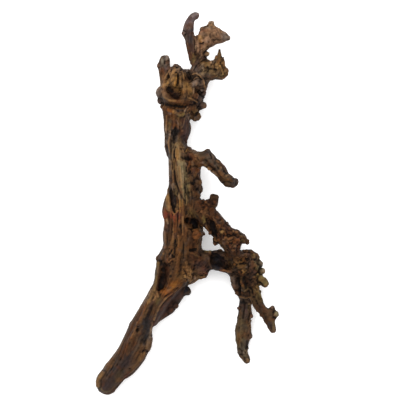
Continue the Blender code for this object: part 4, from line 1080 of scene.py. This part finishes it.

# %% [markdown]
# ## Arm and branch
#
# A snapped arm points away from the trunk. Its lower edge is painted lighter, as the light on that flank,
# and its top slate-dark, as its shade. Below it the right branch is one long burr: folded like dough,
# rust and ochre on the folds and painted black between them as shade, with two deep hollows painted
# blue-black as their shade.

# %% Arm and branch
ARM_AND_BRANCH = [
    ("tan", 0.65, 0, 2.6, (196.6, 153), (198.4, 160)),
    ("red", 0.4, 0, 1.2, (201, 155)),
    ("plum", 0.6, 0, 2.6, (206, 155), (209, 158)),
    ("dark", 0.8, -0.5, 1.6, (201.5, 160), (206.6, 160.6)),
    ("grey", 0.5, 0.5, 0.9, (200.6, 162.6), (204, 163)),
    ("rust", 0.7, 0, 1, (206.8, 160.6), (209, 165), (211, 168.6)),
    ("ochre", 0.7, 0, 1.5, (204.6, 165), (208, 168.4), (211.6, 171)),
    ("pale", 0.5, 0, 1.2, (212, 171.6), (216, 174)),
    ("ochre", 0.4, 2.2, 2.4, (208.8, 169)),
    ("slate", 0.85, 0.6, 2.2, (209, 151)),
    ("soot", 0.9, -0.7, 0.8, (210.4, 154.6), (211.6, 158.4)),
    ("grey", 0.5, 0.5, 0.8, (212.4, 155.4), (213.6, 158.4)),
    ("soot", 0.85, -0.6, 1, (208.8, 158.8)),
    ("plum", 0.6, 0, 1.6, (211, 161), (212.8, 164)),
    ("slate", 0.9, -0.5, 2, (214.6, 163), (215, 169.4)),
    ("soot", 0.9, -0.9, 0.9, (215.6, 167.4)),
    ("soot", 0.9, -0.9, 1, (217.6, 167), (218.3, 169)),
    ("orange", 0.5, 0.6, 1, (216.4, 161), (218, 162.4)),
    ("tan", 0.6, 0, 0.9, (217, 160.5), (220, 163)),
    ("tan", 0.5, 0.6, 1.6, (221.6, 167)),
    ("maroon", 0.8, -0.6, 0.9, (219.6, 166.6)),
    ("rust", 0.5, 0.5, 2, (219.4, 171), (222, 174)),
    ("dark", 0.8, -0.5, 1, (223.6, 171.6)),
    ("orange", 0.5, 0, 1.8, (218.6, 174), (223, 177.4)),
    ("tan", 0.7, 0.6, 1, (227.6, 175), (225.6, 176)),
    ("soot", 0.8, -0.6, 0.8, (225, 174.4)),
    ("rust", 0.65, 0, 2, (227, 180), (231, 180)),
    ("maroon", 0.6, 0, 1.2, (230.4, 182)),
    ("ink", 0.85, 0.9, 2.8, (233.6, 184), (236.4, 180.6)),
    ("grey", 0.6, 0.4, 0.8, (235, 178.8)),
    ("grey", 0.5, 0.4, 0.8, (237, 181.4)),
    ("soot", 0.8, 0, 1, (217, 178), (222, 183.4), (227.4, 186)),
    ("umber", 0.5, 1.3, 2.4, (226, 184.6), (232, 185.6)),
    ("soot", 0.8, 0.7, 2.6, (212.6, 196.4), (216.4, 197)),
    ("dark", 0.7, 1.1, 3, (216.6, 197)),
    ("dark", 0.6, 1, 2.6, (216, 203)),
    ("dark", 0.5, 1.2, 3, (206.6, 200)),
    ("rust", 0.5, 0.5, 1.6, (215, 201.4)),
    ("ink", 0.7, 0, 2.2, (208.8, 200.6), (212, 204)),
    ("tan", 0.5, 0.5, 0.9, (205.6, 202), (209, 205)),
    ("rust", 0.8, 0, 2.4, (206, 206.4), (209.6, 209)),
    ("maroon", 1, -0.9, 1.2, (203, 208.5)),
    ("maroon", 0.9, -0.8, 1, (206, 213.4)),
    ("maroon", 0.9, -0.8, 1, (208.6, 214)),
    ("olive", 0.65, 0.7, 1.2, (203.6, 215), (205, 222)),
    ("rust", 0.6, 0, 2, (202, 212), (208, 217)),
    ("plum", 0.8, -0.6, 2.4, (213, 219), (216.4, 221)),
    ("soot", 1, -1, 2.8, (212.4, 223), (214, 229), (215.6, 234.6)),
    ("dark", 0.6, 1.8, 2.2, (210.6, 234)),
    ("dark", 0.6, 1.8, 2.4, (216, 243.6)),
    ("dark", 0.6, 1.8, 2.2, (214, 250.8)),
    ("dark", 0.6, 2.2, 2.4, (220.4, 249.8)),
    ("ink", 0.8, 0, 1.6, (212.6, 224), (214, 231)),
    ("rust", 0.6, 0.8, 2, (218.4, 217.4)),
    ("ochre", 0.6, 0.5, 1, (222, 220.8)),
    ("maroon", 0.9, -0.7, 1.2, (223.6, 224.8), (227.6, 229)),
    ("orange", 0.6, 0.9, 1.8, (219.4, 225.6)),
    ("ochre", 0.9, 1, 2, (221.6, 231)),
    ("rust", 0.8, 0.8, 1.7, (218.6, 234.4)),
    ("dark", 0.8, 2.3, 2.1, (227.4, 222.8)),
    ("dark", 0.8, 1, 1.5, (229.4, 226)),
    ("soot", 0.9, -1.6, 1.3, (230.4, 229.6)),
    ("soot", 1, -1, 1.1, (227, 232)),
    ("soot", 1, -0.9, 0.9, (229, 234.6)),
    ("soot", 1, -0.9, 0.9, (233, 233.6)),
    ("tan", 0.6, 0.8, 1.3, (234.4, 230.6)),
    ("tan", 0.7, 0.8, 1.5, (237.4, 232)),
    ("olive", 0.7, 0.8, 1.9, (240.6, 235)),
    ("plum", 0.9, -1, 1, (224.2, 235.6), (221.4, 239.4)),
    ("pale", 0.6, 0.8, 1.2, (223, 238.4)),
    ("orange", 0.7, 0.9, 2.6, (234, 241.4)),
    ("rust", 0.6, 0.9, 1.4, (224.6, 236.8), (228.6, 239), (233, 237.4), (238, 240)),
    ("tan", 0.4, 0, 0.9, (225.6, 237), (229, 238.6)),
    ("tan", 0.4, 0, 0.9, (233.6, 237.6), (237, 239.4)),
    ("ochre", 0.7, 0.6, 1.4, (232.4, 244.6), (235, 246)),
    ("soot", 0.8, -0.9, 1.1, (234, 248.6)),
    ("soot", 0.8, -0.8, 0.9, (230.4, 242)),
    ("plum", 0.7, 1, 2, (223.2, 243.6)),
    ("orange", 0.6, 0.9, 1.7, (218, 241)),
    ("rust", 0.7, 1.4, 1.7, (214.4, 244)),
    ("soot", 0.8, -0.8, 1, (219.6, 246)),
    ("red", 0.6, 0.6, 1.3, (240, 238)),
    ("olive", 0.8, 0.6, 2, (243, 241)),
    ("dark", 0.8, 0, 1.2, (247, 242)),
    ("soot", 0.9, -0.9, 1, (240.4, 245)),
    ("soot", 1, -1.2, 1.4, (226.6, 251)),
    ("soot", 0.9, -0.9, 1, (226, 246.6)),
    ("tan", 0.6, 0.9, 1.7, (233, 251)),
    ("rust", 0.5, 0.8, 1.8, (229.6, 248.4)),
    ("ochre", 0.5, 0.6, 1, (209.4, 251.6), (211, 254)),
    ("soot", 0.8, -0.8, 1.1, (214, 253)),
    ("soot", 0.8, -0.7, 1.1, (220, 250)),
    ("olive", 0.6, 0.8, 1.2, (202, 249.4), (206, 251.6), (211, 252)),
    ("ink", 0.95, -0.5, 5.6, (215.6, 256), (219, 260), (217, 265)),
    ("soot", 0.8, 0, 2, (213, 264), (216, 268)),
    ("dark", 0.5, 0, 2, (209, 258), (210, 266)),
    ("brown", 0.5, 0.6, 1.1, (208, 257), (209.6, 264), (212, 269)),
    ("dark", 0.6, 1.7, 2, (244.4, 242.6)),
    ("dark", 0.7, 0, 3, (224, 266), (230, 262)),
    ("rust", 0.8, 0.8, 1.2, (220.6, 270.6), (226, 271), (231.6, 272.4)),
    ("tan", 0.5, 0.4, 0.8, (223, 270), (229, 271)),
    ("soot", 0.7, 0, 0.9, (222, 272.6), (230, 275)),
]
mark(ARM_AND_BRANCH)
print("arm and branch:", len(ARM_AND_BRANCH), "marks")

# %% [markdown]
# ## Fist, shin and twig
#
# The branch ends in a clenched knot that carries a blunt stub, a shin with a knobbly right edge and a
# thin forked twig. These ends are greyer and greener than the rest, as wood that stood in mud.

# %% Fist, shin and twig
FIST = [
    ("soot", 0.85, 0, 1.1, (244, 251), (249.6, 250.4)),
    ("soot", 0.9, -0.9, 0.9, (244.6, 252.4), (250, 252.6)),
    ("tan", 0.45, 0.8, 1.2, (241, 255), (245.6, 254.4), (246.4, 257)),
    ("rust", 0.7, 0.7, 1.7, (243, 257)),
    ("olive", 0.8, 1, 2.4, (253, 255)),
    ("tan", 0.5, 0.8, 1.1, (250, 258.6), (254, 257.4)),
    ("grey", 0.6, 0.8, 1.4, (249, 263.4)),
    ("grey", 0.5, 0.7, 1.2, (246.4, 266)),
    ("soot", 0.9, -0.9, 1, (255, 259.4)),
    ("soot", 0.9, -0.9, 0.9, (255.2, 262)),
    ("olive", 0.6, 1.1, 1.8, (258.4, 261)),
    ("grey", 0.8, 2.6, 2.4, (261, 262.8)),
    ("grey", 0.8, 4, 2.6, (262.4, 270.6)),
    ("dark", 0.7, 1, 2.6, (246, 250)),
    ("umber", 0.6, 1, 6, (234.4, 289)),
    ("umber", 0.4, 1.4, 2.8, (237, 294.4)),
    ("soot", 0.8, -0.9, 1, (259, 270)),
    ("rust", 0.6, 0.9, 1.7, (257, 266.4)),
    ("gold", 0.75, 0.7, 1.3, (258, 273.4)),
    ("gold", 0.95, 1, 2.3, (242.6, 271)),
    ("pale", 0.4, 0, 0.9, (242.6, 270.4)),
    ("rust", 0.8, 0.8, 1.6, (238.6, 272.6)),
    ("soot", 1, -1.2, 1.5, (233, 273)),
    ("soot", 0.9, -0.9, 1.1, (236, 275.4)),
    ("soot", 0.9, -0.9, 1.1, (236, 268.6)),
    ("ochre", 0.4, 0.8, 1.3, (235.8, 261.6), (238, 263.4), (240.6, 262)),
    ("soot", 0.9, -0.9, 1, (236.6, 265.6)),
    ("soot", 0.9, -0.9, 1, (240.4, 264)),
    ("orange", 0.5, 0.7, 1.5, (234, 265)),
    ("plum", 0.85, 0.9, 2.3, (251, 269), (254, 272)),
    ("soot", 1, -1, 1.2, (246.2, 273)),
    ("soot", 0.9, -0.9, 1, (249, 274.6)),
    ("maroon", 0.7, 0.8, 1.5, (246.6, 278)),
    ("soot", 0.9, -0.9, 1, (251, 281)),
    ("rust", 0.6, 0.9, 1.9, (254, 277.6)),
    ("soot", 0.9, -0.9, 1, (248.6, 284.4)),
    ("soot", 1, -1.4, 1.3, (238, 278.6), (238.6, 283), (239.4, 289)),
    ("rust", 0.7, 0.9, 1.3, (241.2, 281.6), (243, 286.6)),
    ("plum", 0.6, 0.7, 1.3, (234, 280.6), (234.6, 287)),
    ("soot", 0.8, -0.8, 0.9, (245.4, 284), (246, 289)),
    ("tan", 0.4, 0.8, 1.2, (244.6, 291), (247.6, 289.2), (250.4, 290.4)),
    ("soot", 1, -1, 1.1, (248.4, 291.6)),
    ("rust", 0.6, 0.6, 1.8, (241, 293)),
    ("soot", 1, -1.1, 1.5, (253.4, 297)),
    ("tan", 0.75, 0.9, 0.9, (239.6, 296.6), (246, 298.2), (251, 297)),
    ("slate", 0.9, -0.7, 2.2, (241.4, 302), (249, 302)),
    ("olive", 0.85, 0.9, 3, (261.4, 278.4), (266, 284)),
    ("soot", 0.8, -0.9, 0.8, (260, 282.6), (263.4, 286.6)),
    ("rust", 0.8, 0, 1.4, (266.4, 286)),
    ("olive", 0.75, 0.6, 2.4, (258, 286), (261, 293), (262, 300)),
    ("grey", 0.5, 1.4, 1.5, (261.4, 292)),
    ("gold", 0.4, 0, 1.2, (256.6, 288), (258, 294)),
    ("maroon", 1, -0.9, 1.2, (256.8, 300.4)),
    ("soot", 0.9, -0.7, 1.1, (256.2, 303)),
    ("soot", 0.7, -0.6, 0.9, (252, 289), (252.6, 293)),
    ("slate", 0.7, 0, 3.2, (244, 305), (244.6, 309)),
    ("maroon", 0.85, -0.8, 1.1, (245, 305), (243.6, 313), (243, 318)),
    ("plum", 0.6, 0.5, 1.7, (246.6, 310), (246.8, 317)),
    ("tan", 0.4, 0.4, 1.1, (240.8, 309), (240.4, 317)),
    ("olive", 0.6, 0, 1.2, (249, 304.6), (248.6, 310)),
    ("slate", 0.9, 1.9, 1.5, (238.2, 308)),
    ("slate", 0.9, 1.4, 2, (251.6, 315)),
    ("soot", 0.6, 0, 1, (251, 312.6)),
    ("tan", 0.3, 0, 2.4, (243, 328), (242, 333)),
    ("maroon", 0.6, -0.5, 0.9, (238.6, 328.6)),
    ("orange", 0.4, 0, 1.5, (238.6, 332), (239, 343)),
    ("dark", 0.7, -0.5, 1, (243.4, 338)),
    ("dark", 0.6, 0, 1, (246.8, 322), (247, 334)),
    ("slate", 0.7, 0.8, 1.4, (250.4, 321.6)),
    ("soot", 0.8, -0.8, 0.9, (250.4, 326)),
    ("slate", 0.8, 1.4, 1.8, (251.2, 335.8)),
    ("soot", 0.7, 0, 1, (252, 336)),
    ("plum", 0.8, 0, 1.4, (248, 338), (246.6, 344)),
    ("soot", 0.95, -0.6, 1.5, (247, 342), (246.6, 349)),
    ("soot", 0.9, 1.2, 1.3, (248.4, 348)),
    ("dark", 0.7, -0.4, 1.2, (241.4, 343), (241.8, 348)),
    ("slate", 0.8, 0, 2, (242, 350)),
    ("slate", 0.95, 1.7, 2.3, (238.4, 352.6)),
    ("soot", 0.9, -0.7, 1.1, (241.4, 352.4)),
    ("grey", 0.7, 0.6, 1.5, (243.2, 354)),
    ("soot", 0.9, -0.9, 1.1, (246, 353.4)),
    ("slate", 0.7, 0, 1, (248, 353), (249.6, 358)),
    ("brown", 0.5, 1, 2.4, (247.6, 361)),
    ("dark", 0.8, 0, 1, (244.4, 359), (247, 363), (250, 360)),
    ("soot", 0.7, -0.5, 0.9, (246, 357.6)),
    ("rust", 0.55, 0, 3.4, (261, 305), (267, 314)),
    ("dark", 0.6, 0, 1.6, (256, 305), (264, 318), (270, 329)),
    ("olive", 0.6, 0, 1.6, (262, 298), (262.6, 303)),
    ("red", 0.3, 0, 1.4, (264, 308.6), (267, 311)),
    ("tan", 0.5, 0, 1, (266, 307.4), (270.6, 308)),
    ("plum", 0.8, 1.4, 1.8, (272.4, 306.4)),
    ("sage", 0.4, 1.7, 3.2, (277.2, 313.6)),
    ("olive", 0.7, 0, 1.8, (272.4, 312.6)),
    ("dark", 0.8, -0.5, 0.9, (272.6, 313.6)),
    ("soot", 0.6, -0.6, 1.2, (273.8, 317.6)),
    ("dark", 0.4, -0.3, 0.9, (277, 311.6)),
    ("slate", 0.7, 0, 1.4, (268.4, 321), (270, 326)),
    ("olive", 0.5, 0, 1.5, (273.4, 322), (273, 330)),
    ("dark", 0.6, -0.4, 0.9, (271, 325), (271.4, 329)),
]
mark(FIST)
print("fist:", len(FIST), "marks")

# %% [markdown]
# ## Glazes
#
# When the marks are in, a painter steps back, and lays thin glazes over what came out too light, too dark
# or too red: soot in the heart of the fist, grey-green on the shin and the arm, an ashen bloom on the
# edges. They are stains without a height too, but lie on the upper side only.

# %% Thin glazes of colour
GLAZES = [
    ("olive", 0.2, 9, (178, 246), (180, 262), (178, 274)),
    ("ash", 0.3, 3, (149, 292), (139, 308)),
    ("tan", 0.4, 2.4, (110, 360), (105, 366)),
    ("slate", 0.3, 8, (118, 372), (106, 386)),
    ("slate", 0.35, 5, (151, 328), (147, 340)),
    ("ink", 0.6, 3.8, (187, 287), (187, 292)),
    ("maroon", 0.5, 4, (197, 268), (203, 270)),
    ("ochre", 0.35, 3, (172, 207), (174, 212)),
    ("umber", 0.4, 2.6, (180, 191), (182, 197)),
    ("rust", 0.4, 3, (180, 147), (181, 152)),
    ("soot", 0.5, 3.6, (196, 177), (196, 189)),
    ("ash", 0.3, 1.8, (165.5, 126), (165.5, 136)),
    ("ash", 0.3, 1.6, (168, 150), (169.6, 162), (170, 176)),
    ("gold", 0.4, 3, (177, 83), (179, 90)),
    ("clay", 0.3, 5, (160, 84), (163, 92)),
    ("grey", 0.35, 2.6, (185, 70), (189, 72)),
    ("grey", 0.2, 3, (189, 77), (192, 79)),
    ("sage", 0.35, 3, (162, 58), (163, 64)),
    ("tan", 0.3, 2.6, (168, 60), (169, 65)),
    ("tan", 0.3, 3, (203, 67), (207, 69)),
    ("sage", 0.3, 6, (205, 70), (220, 73)),
    ("ochre", 0.3, 4, (220, 64), (224, 70)),
    ("ash", 0.45, 3, (196, 12), (190, 16)),
    ("ash", 0.3, 2, (185, 28), (186, 40)),
    ("pale", 0.5, 3, (208, 22), (212, 24)),
    ("slate", 0.3, 5, (203, 157), (214, 166)),
    ("olive", 0.25, 5, (203, 157), (216, 168), (228, 180)),
    ("umber", 0.5, 5, (206, 213), (216, 219)),
    ("soot", 0.35, 4, (224, 246), (226, 252)),
    ("soot", 0.45, 5, (235, 254), (236, 260)),
    ("soot", 0.5, 5, (249, 275), (248, 282)),
    ("tan", 0.25, 3.4, (256, 282), (257, 290)),
    ("sage", 0.1, 7, (243, 316), (242, 342)),
    ("sage", 0.25, 5, (266, 312), (276, 313)),
    ("ash", 0.35, 2.4, (271, 308), (275, 309)),
    ("tan", 0.4, 2.6, (205.5, 67), (206, 68.5)),
    ("ash", 0.35, 2.4, (202, 66), (202, 68)),
    ("umber", 0.35, 2.2, (210, 64), (211, 65)),
    ("umber", 0.45, 3, (210, 73), (214, 71)),
    ("tan", 0.35, 3, (222, 63), (222.6, 69)),
    ("ash", 0.4, 2.4, (213, 60.5), (215, 60.5)),
    ("straw", 0.5, 2.6, (185.6, 175), (186, 193)),
    ("ash", 0.4, 2.6, (194.5, 152), (197, 152.5)),
    ("tan", 0.3, 2.2, (194, 164), (195, 165)),
    ("soot", 0.45, 3, (194.4, 173), (194, 184)),
    ("umber", 0.35, 3, (198.5, 175), (198.5, 194)),
    ("soot", 0.4, 2.6, (194, 191), (194, 197)),
    ("umber", 0.3, 2.4, (190, 186), (190, 189)),
    ("soot", 0.45, 3.6, (233, 258), (237, 256)),
    ("umber", 0.4, 2.6, (240, 265), (241, 267)),
    ("tan", 0.3, 2.2, (243.6, 250.6), (246, 250.8)),
    ("soot", 0.4, 2.6, (233, 270), (236, 270)),
    ("rust", 0.4, 2, (239.6, 274), (241, 274)),
    ("ochre", 0.4, 2.6, (259, 273), (261, 274)),
    ("tan", 0.35, 3, (256.6, 280), (257, 288)),
    ("ash", 0.3, 2.4, (232.4, 277), (233, 284)),
    ("dark", 0.3, 3, (244, 298), (251, 298)),
    ("tan", 0.35, 3, (172, 116), (177, 116)),
    ("ash", 0.35, 2.4, (188, 115), (188, 118)),
    ("umber", 0.45, 4, (173, 124), (181, 123)),
    ("dark", 0.5, 4, (182, 130), (182, 137)),
    ("grey", 0.4, 2.4, (172.4, 131), (172.4, 137)),
]
wash(GLAZES)
print("glazes:", len(GLAZES))

# %% [markdown]
# ## Polished places
#
# Some parts of the root are smoother than the rest: the leg and its fin, the bowl of the burl, the right
# head and the horn. A row holds how much of the roughness is gone there, how wide the place is and the
# pixels that it runs through. The table `rough` is 1 everywhere else. Where it is less, the ribs and
# knobs are lower, the cracks hold less painted shade, and the worn crests and the painted shade of the
# hollows differ less in tone.

# %% Polished places
POLISHED = [
    (0.3, 14, (148, 300), (134, 336), (106, 382)),
    (0.5, 9, (180, 296), (162, 314)),
    (0.2, 12, (166, 88), (186, 84)),
    (0.45, 11, (206, 30), (222, 38)),
    (0.2, 6, (195, 14), (187, 28), (190, 50)),
]
rough = np.ones(corner_count)
for strength, radius, *pixels in POLISHED:
    gap, _ = gap_to(pixels, places)
    rough = np.minimum(rough, 1 - strength * smoothstep(1.5 - gap / radius))
print("roughness from", round(rough.min(), 2), "to", rough.max())

# %% [markdown]
# ## Ribs, knobs, cracks and creases
#
# Now the combed streaks become relief. Broad streaks are the ribs of the wood and fine ones its fibres.
# The lowest streaks are cut deeper: those are the drying cracks. In the knotted places the crowd of knobs
# stands up instead, with creases between them.

# %% Relief of the wood
RIB_MM = 0.14
STRAIGHT_RIB_MM = 0.08          # added where the grain is straight
FIBRE_MM = 0.12
KNOB_MM = 2                     # from the crease to the top of the largest knobs
KNOB_SINK_MM = 0.9              # how far their creases lie below the skin
CRACK_MM = 0.7
CREASE_MM = 0.3
knotted = spread(knotted, 3)[:, 0]
straight = 1 - knotted
ribs = np.clip(broad_streaks, -2, 1.6)
fibres = np.clip(fine_streaks, -2, 1.6)
crease = knotted * smoothstep((0.2 - knob_top) / 0.2) * (0.6 + 0.4 * uneven)
crack = straight * smoothstep((-broad_streaks - 1.5) / 0.8) * smoothstep(0.5 - 0.4 * fine_streaks)
relief += rough * ((RIB_MM + STRAIGHT_RIB_MM * straight) * ribs + FIBRE_MM * fibres)
relief += rough * knotted * knob_size * (KNOB_MM * knob_top**0.7 - KNOB_SINK_MM)
relief -= CRACK_MM * crack + CREASE_MM * crease
print("cracks cover", round(100 * crack.mean()), "% of the skin, creases", round(100 * crease.mean()), "%")

# %% [markdown]
# ## Tints, mottling and painted shade
#
# Each knob takes its own tint of the wood. The slowest streaks stain the straight grain tan where they
# are high, and darken the wood where they are low. A slow noise mottles everything with slate and rust.
# A tone as dark as soot would turn brown from even a little of these, so `plain` weakens them where the
# tone is darker than umber. Last, painted shade in soot colour fills the cracks, the creases and the rings
# round raised marks.

# %% Tints, mottling and painted shade
KNOB_TINTS = ("brown", "rust", "tan", "dark", "olive", "plum", "brown", "ochre", "maroon")
plain = smoothstep(tone.mean(axis=1) / light("umber").mean())
tint_of = dice.integers(len(KNOB_TINTS), size=len(knob_centres))
tints = np.array([light(name) for name in KNOB_TINTS])[tint_of]
dye(tints[knob_of], 0.3 * plain * knotted * smoothstep(knob_top / 0.4))
stains = np.clip(stain_streaks, -2, 2)
dye(light("tan"), 0.22 * plain * smoothstep((stains - 0.3) / 1.4) * straight)
dye(light("dark"), 0.4 * smoothstep((-stains - 0.3) / 1.4))
mottle = solid_noise(6, 31) + 0.5 * solid_noise(3, 32)
dye(light("slate"), 0.3 * plain * smoothstep((mottle - 0.15) / 0.4))
dye(light("rust"), 0.3 * plain * smoothstep((-mottle - 0.15) / 0.4))
# Painted shade: the cracks, the creases and the rings round raised marks go towards soot colour.
shade = 1 - (1 - shade) * (1 - 0.65 * rough * crease) * (1 - 0.4 * rough * crack)
dye(light("soot"), 0.85 * shade)
print("soot covers", round(100 * shade.mean()), "% of the skin")

# %% [markdown]
# ## Moving the corners
#
# Since the file, the skin hasn't moved. Now each corner goes out or in along the way it faces, by its own
# relief, and the smoothing brush rounds the sharpest corners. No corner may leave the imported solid's box,
# so that the root keeps its size.

# %% Move the corners
places += facing * relief[:, None]
places = np.clip(softened(0.4), low, high)
write(places)
print("relief from", round(relief.min(), 1), "to", round(relief.max(), 1), "mm")

# %% [markdown]
# ## Crests and hollows
#
# Worn wood is light on its crests, where hands and water reach it, and its hollows are painted darker as
# shade. What smoothing would take away tells which is which: a corner above the smoothed skin lies on a
# crest, one below it in a hollow. Measured at two sizes, this becomes one number for each corner, and the
# material reads it. The knobs of the burr are dull, so the crests there are toned down by up to a quarter.

# %% Measure crests and hollows
FINE_CREST_MM = 0.2             # a crest this high counts as 1
BROAD_CREST_MM = 0.7
facing = read("normal", 3)


def above(times):
    """How far each corner stands above the skin smoothed so many times, in millimetres."""
    return np.sum((places - spread(places, times)) * facing, axis=1)


broad = above(40)
broad -= spread(broad, 80)[:, 0]
height = rough * np.clip(above(4) / FINE_CREST_MM + broad / BROAD_CREST_MM, -3, 3)
height -= 0.25 * knotted * np.maximum(height, 0)
print("heights", np.round(np.percentile(height, (5, 50, 95)), 2))

# %% Store what the material reads


def store(name, kind, table):
    attribute = root.data.attributes.new(name, kind, "POINT")
    field = "color" if kind == "FLOAT_COLOR" else "value"
    attribute.data.foreach_set(field, table.astype(np.float32).ravel())


store("tone", "FLOAT_COLOR", np.column_stack([tone, np.ones(corner_count)]))
store("height", "FLOAT", height)
store("streaks", "FLOAT", fibres + 0.4 * ribs)
print("stored", [attribute.name for attribute in root.data.attributes])

# %% [markdown]
# ## Maths on sockets
#
# The material is a formula: the painted tone, made lighter on crests and darker in hollows, streaked
# along the grain and speckled. Written as nodes it would be a page of Math nodes. A small class lets
# Python write them: it wraps a socket, and every + - * on it adds the node that does the sum. Any other
# node comes from `Wire.node`, which takes its type, its settings and what goes into its sockets.

# %% A socket that can be added and multiplied


class Wire:
    """One output of a material's nodes, on which + - and * add Math nodes."""

    tree = None

    def __init__(self, socket):
        self.socket = socket

    @classmethod
    def node(cls, kind, settings, inputs, output=0):
        """Adds a node with its settings, then the values or wires of its sockets, and returns one output."""
        made = cls.tree.nodes.new(kind)
        for name, value in settings.items():
            setattr(made, name, value)
        for name, value in inputs.items():
            if isinstance(value, Wire):
                cls.tree.links.new(value.socket, made.inputs[name])
            else:
                made.inputs[name].default_value = value
        return cls(made.outputs[output])

    def sum(self, operation, first, second):
        return self.node("ShaderNodeMath", {"operation": operation}, {0: first, 1: second})

    def __add__(self, other):
        return self.sum("ADD", self, other)

    def __sub__(self, other):
        return self.sum("SUBTRACT", self, other)

    def __rsub__(self, other):
        return self.sum("SUBTRACT", other, self)

    def __mul__(self, other):
        return self.sum("MULTIPLY", self, other)

    __radd__ = __add__
    __rmul__ = __mul__

    def between(self, lowest, highest):
        """This value as a share from 0 to 1 of the way between two values."""
        limits = {"From Min": lowest, "From Max": highest}
        return self.node("ShaderNodeMapRange", {"clamp": True}, {"Value": self, **limits})


print("ready to do sums on sockets")

# %% Short names for the nodes of the formula


def attribute(name, output):
    return Wire.node("ShaderNodeAttribute", {"attribute_name": name}, {}, output)


def grains(size_mm, detail):
    """Noise from 0 to 1 in spots of this size, fixed to the wood."""
    position = Wire.node("ShaderNodeTexCoord", {}, {}, "Object")
    inputs = {"Vector": position, "Scale": 1 / (size_mm * MM), "Detail": detail}
    return Wire.node("ShaderNodeTexNoise", {}, inputs)


def mixed(share, first, second):
    """A colour that goes from the first to the second as share goes from 0 to 1."""
    return Wire.node("ShaderNodeMix", {"data_type": "RGBA"}, {0: share, 6: first, 7: second}, 2)


def set_sockets(node, values):
    """Sets what is the same all over a surface straight on the sockets of its node."""
    for name, value in values.items():
        node.inputs[name].default_value = value


print("ready to write formulas")

# %% [markdown]
# ## The wood
#
# Ebony wood that has been in water is nearly dull: a faint sheen on the crests, none in the cracks. So
# both the colour and the roughness read the height. The colour is lighter on the worn crests and darker in
# the hollows as painted shade, and the deepest hollows go over to painted shade as dark as soot. The bump
# adds what is finer than the skin's squares: pores and hair-thin fibres. The tones in the tables are the
# ones that show in the photograph, and the lamps are brighter than a tone of 1, so the whole is scaled by
# EXPOSURE to what the wood itself reflects.

# %% Wood material
EXPOSURE = 0.6
DIMMEST, BRIGHTEST = 0.1, 2.6   # what the tone is multiplied by, at the least and at the most
CREST_LIGHT, STREAK_LIGHT, SPECKLE_LIGHT, PORE_LIGHT = 0.3, 0.12, 0.9, 1.3
SPECKLE_MM = 2.2
PORE_MM = 0.7
material = bpy.data.materials.new("ebony_wood_worn")
material.use_nodes = True
Wire.tree = material.node_tree
shader = material.node_tree.nodes["Principled BSDF"]

crest = attribute("height", "Fac")
streak = attribute("streaks", "Fac")
speckle = grains(SPECKLE_MM, 4.0)
pores = grains(PORE_MM, 3.0)
# Painted light and shade: the tone is lighter on worn crests and darker in hollows, by the height.
brightness = 1.0 + crest * CREST_LIGHT + streak * STREAK_LIGHT
brightness = brightness + (speckle - 0.5) * SPECKLE_LIGHT + (pores - 0.5) * PORE_LIGHT
brightness = brightness.between(DIMMEST, BRIGHTEST)
brightness = brightness * ((BRIGHTEST - DIMMEST) * EXPOSURE) + DIMMEST * EXPOSURE
scaled = {0: attribute("tone", "Color"), "Scale": brightness}
colour = Wire.node("ShaderNodeVectorMath", {"operation": "SCALE"}, scaled)
# Painted shade: the deepest hollows go over to a tone as dark as soot.
hollow = crest.between(-0.5, -2.6)
colour = mixed(hollow * 0.7, colour, (*light("soot") * EXPOSURE, 1))
roughness = 0.66 - crest.between(-1, 2) * 0.12 + (speckle - 0.5) * 0.3
grit = pores * 0.6 + speckle * 0.6 + streak * 0.05
bump = Wire.node("ShaderNodeBump", {}, {"Height": grit, "Strength": 0.5, "Distance": 0.5 * MM})
for name, wire in (("Base Color", colour), ("Roughness", roughness), ("Normal", bump)):
    Wire.tree.links.new(wire.socket, shader.inputs[name])
set_sockets(shader, {"Specular IOR Level": 0.05})
root.data.materials.append(material)
print(len(material.node_tree.nodes), "nodes in", material.name)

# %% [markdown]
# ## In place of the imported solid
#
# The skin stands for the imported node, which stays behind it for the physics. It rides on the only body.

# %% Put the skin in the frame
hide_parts("ebony_root")
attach(root, "root")
print("triangles", sum(len(face.vertices) - 2 for face in root.data.polygons))

# %% [markdown]
# ## Floor and light
#
# The photograph was taken on white, with soft light from above and a little to the left. A wide pale
# floor, a large soft lamp overhead, a weak one across from it and an even white sky give the same: clear
# ribs and knots, and only a faint shadow. The floor also gives off a little light of its own, as a sheet
# of paper on a light table does, which keeps the shadow faint.

# %% Floor
FLOOR_M = 12
WHITE = (1, 1, 1, 1)
bpy.ops.object.select_all(action="DESELECT")
bpy.ops.mesh.primitive_plane_add(size=FLOOR_M, location=(0, 0, -0.5 * MM))
floor = bpy.context.object
floor.name = "floor"
paper = bpy.data.materials.new("pale_floor")
paper.use_nodes = True
set_sockets(paper.node_tree.nodes["Principled BSDF"], {
    "Base Color": (0.93, 0.93, 0.93, 1), "Roughness": 0.9, "Emission Color": WHITE, "Emission Strength": 0.2,
})
floor.data.materials.append(paper)
print("floor", tuple(round(side, 1) for side in floor.dimensions))

# %% Lights


def lamp(name, place, size, power):
    """A square soft lamp that shines on the root: its place and size in metres, its power in watts."""
    bpy.ops.object.light_add(type="AREA", location=place)
    made = bpy.context.object
    made.name = name
    made.data.size = size
    made.data.energy = power
    made.rotation_euler = (-Vector(place)).to_track_quat("-Z", "Y").to_euler()


lamp("upper_left_lamp", (-0.4, 0.55, 1.85), size=1.9, power=40)
lamp("right_lamp", (1.2, -0.3, 1.3), size=0.8, power=6)
world = bpy.data.worlds.new("white_sky")
bpy.context.scene.world = world
world.use_nodes = True
set_sockets(world.node_tree.nodes["Background"], {"Color": WHITE, "Strength": 0.95})
bpy.context.scene.view_settings.view_transform = "Standard"
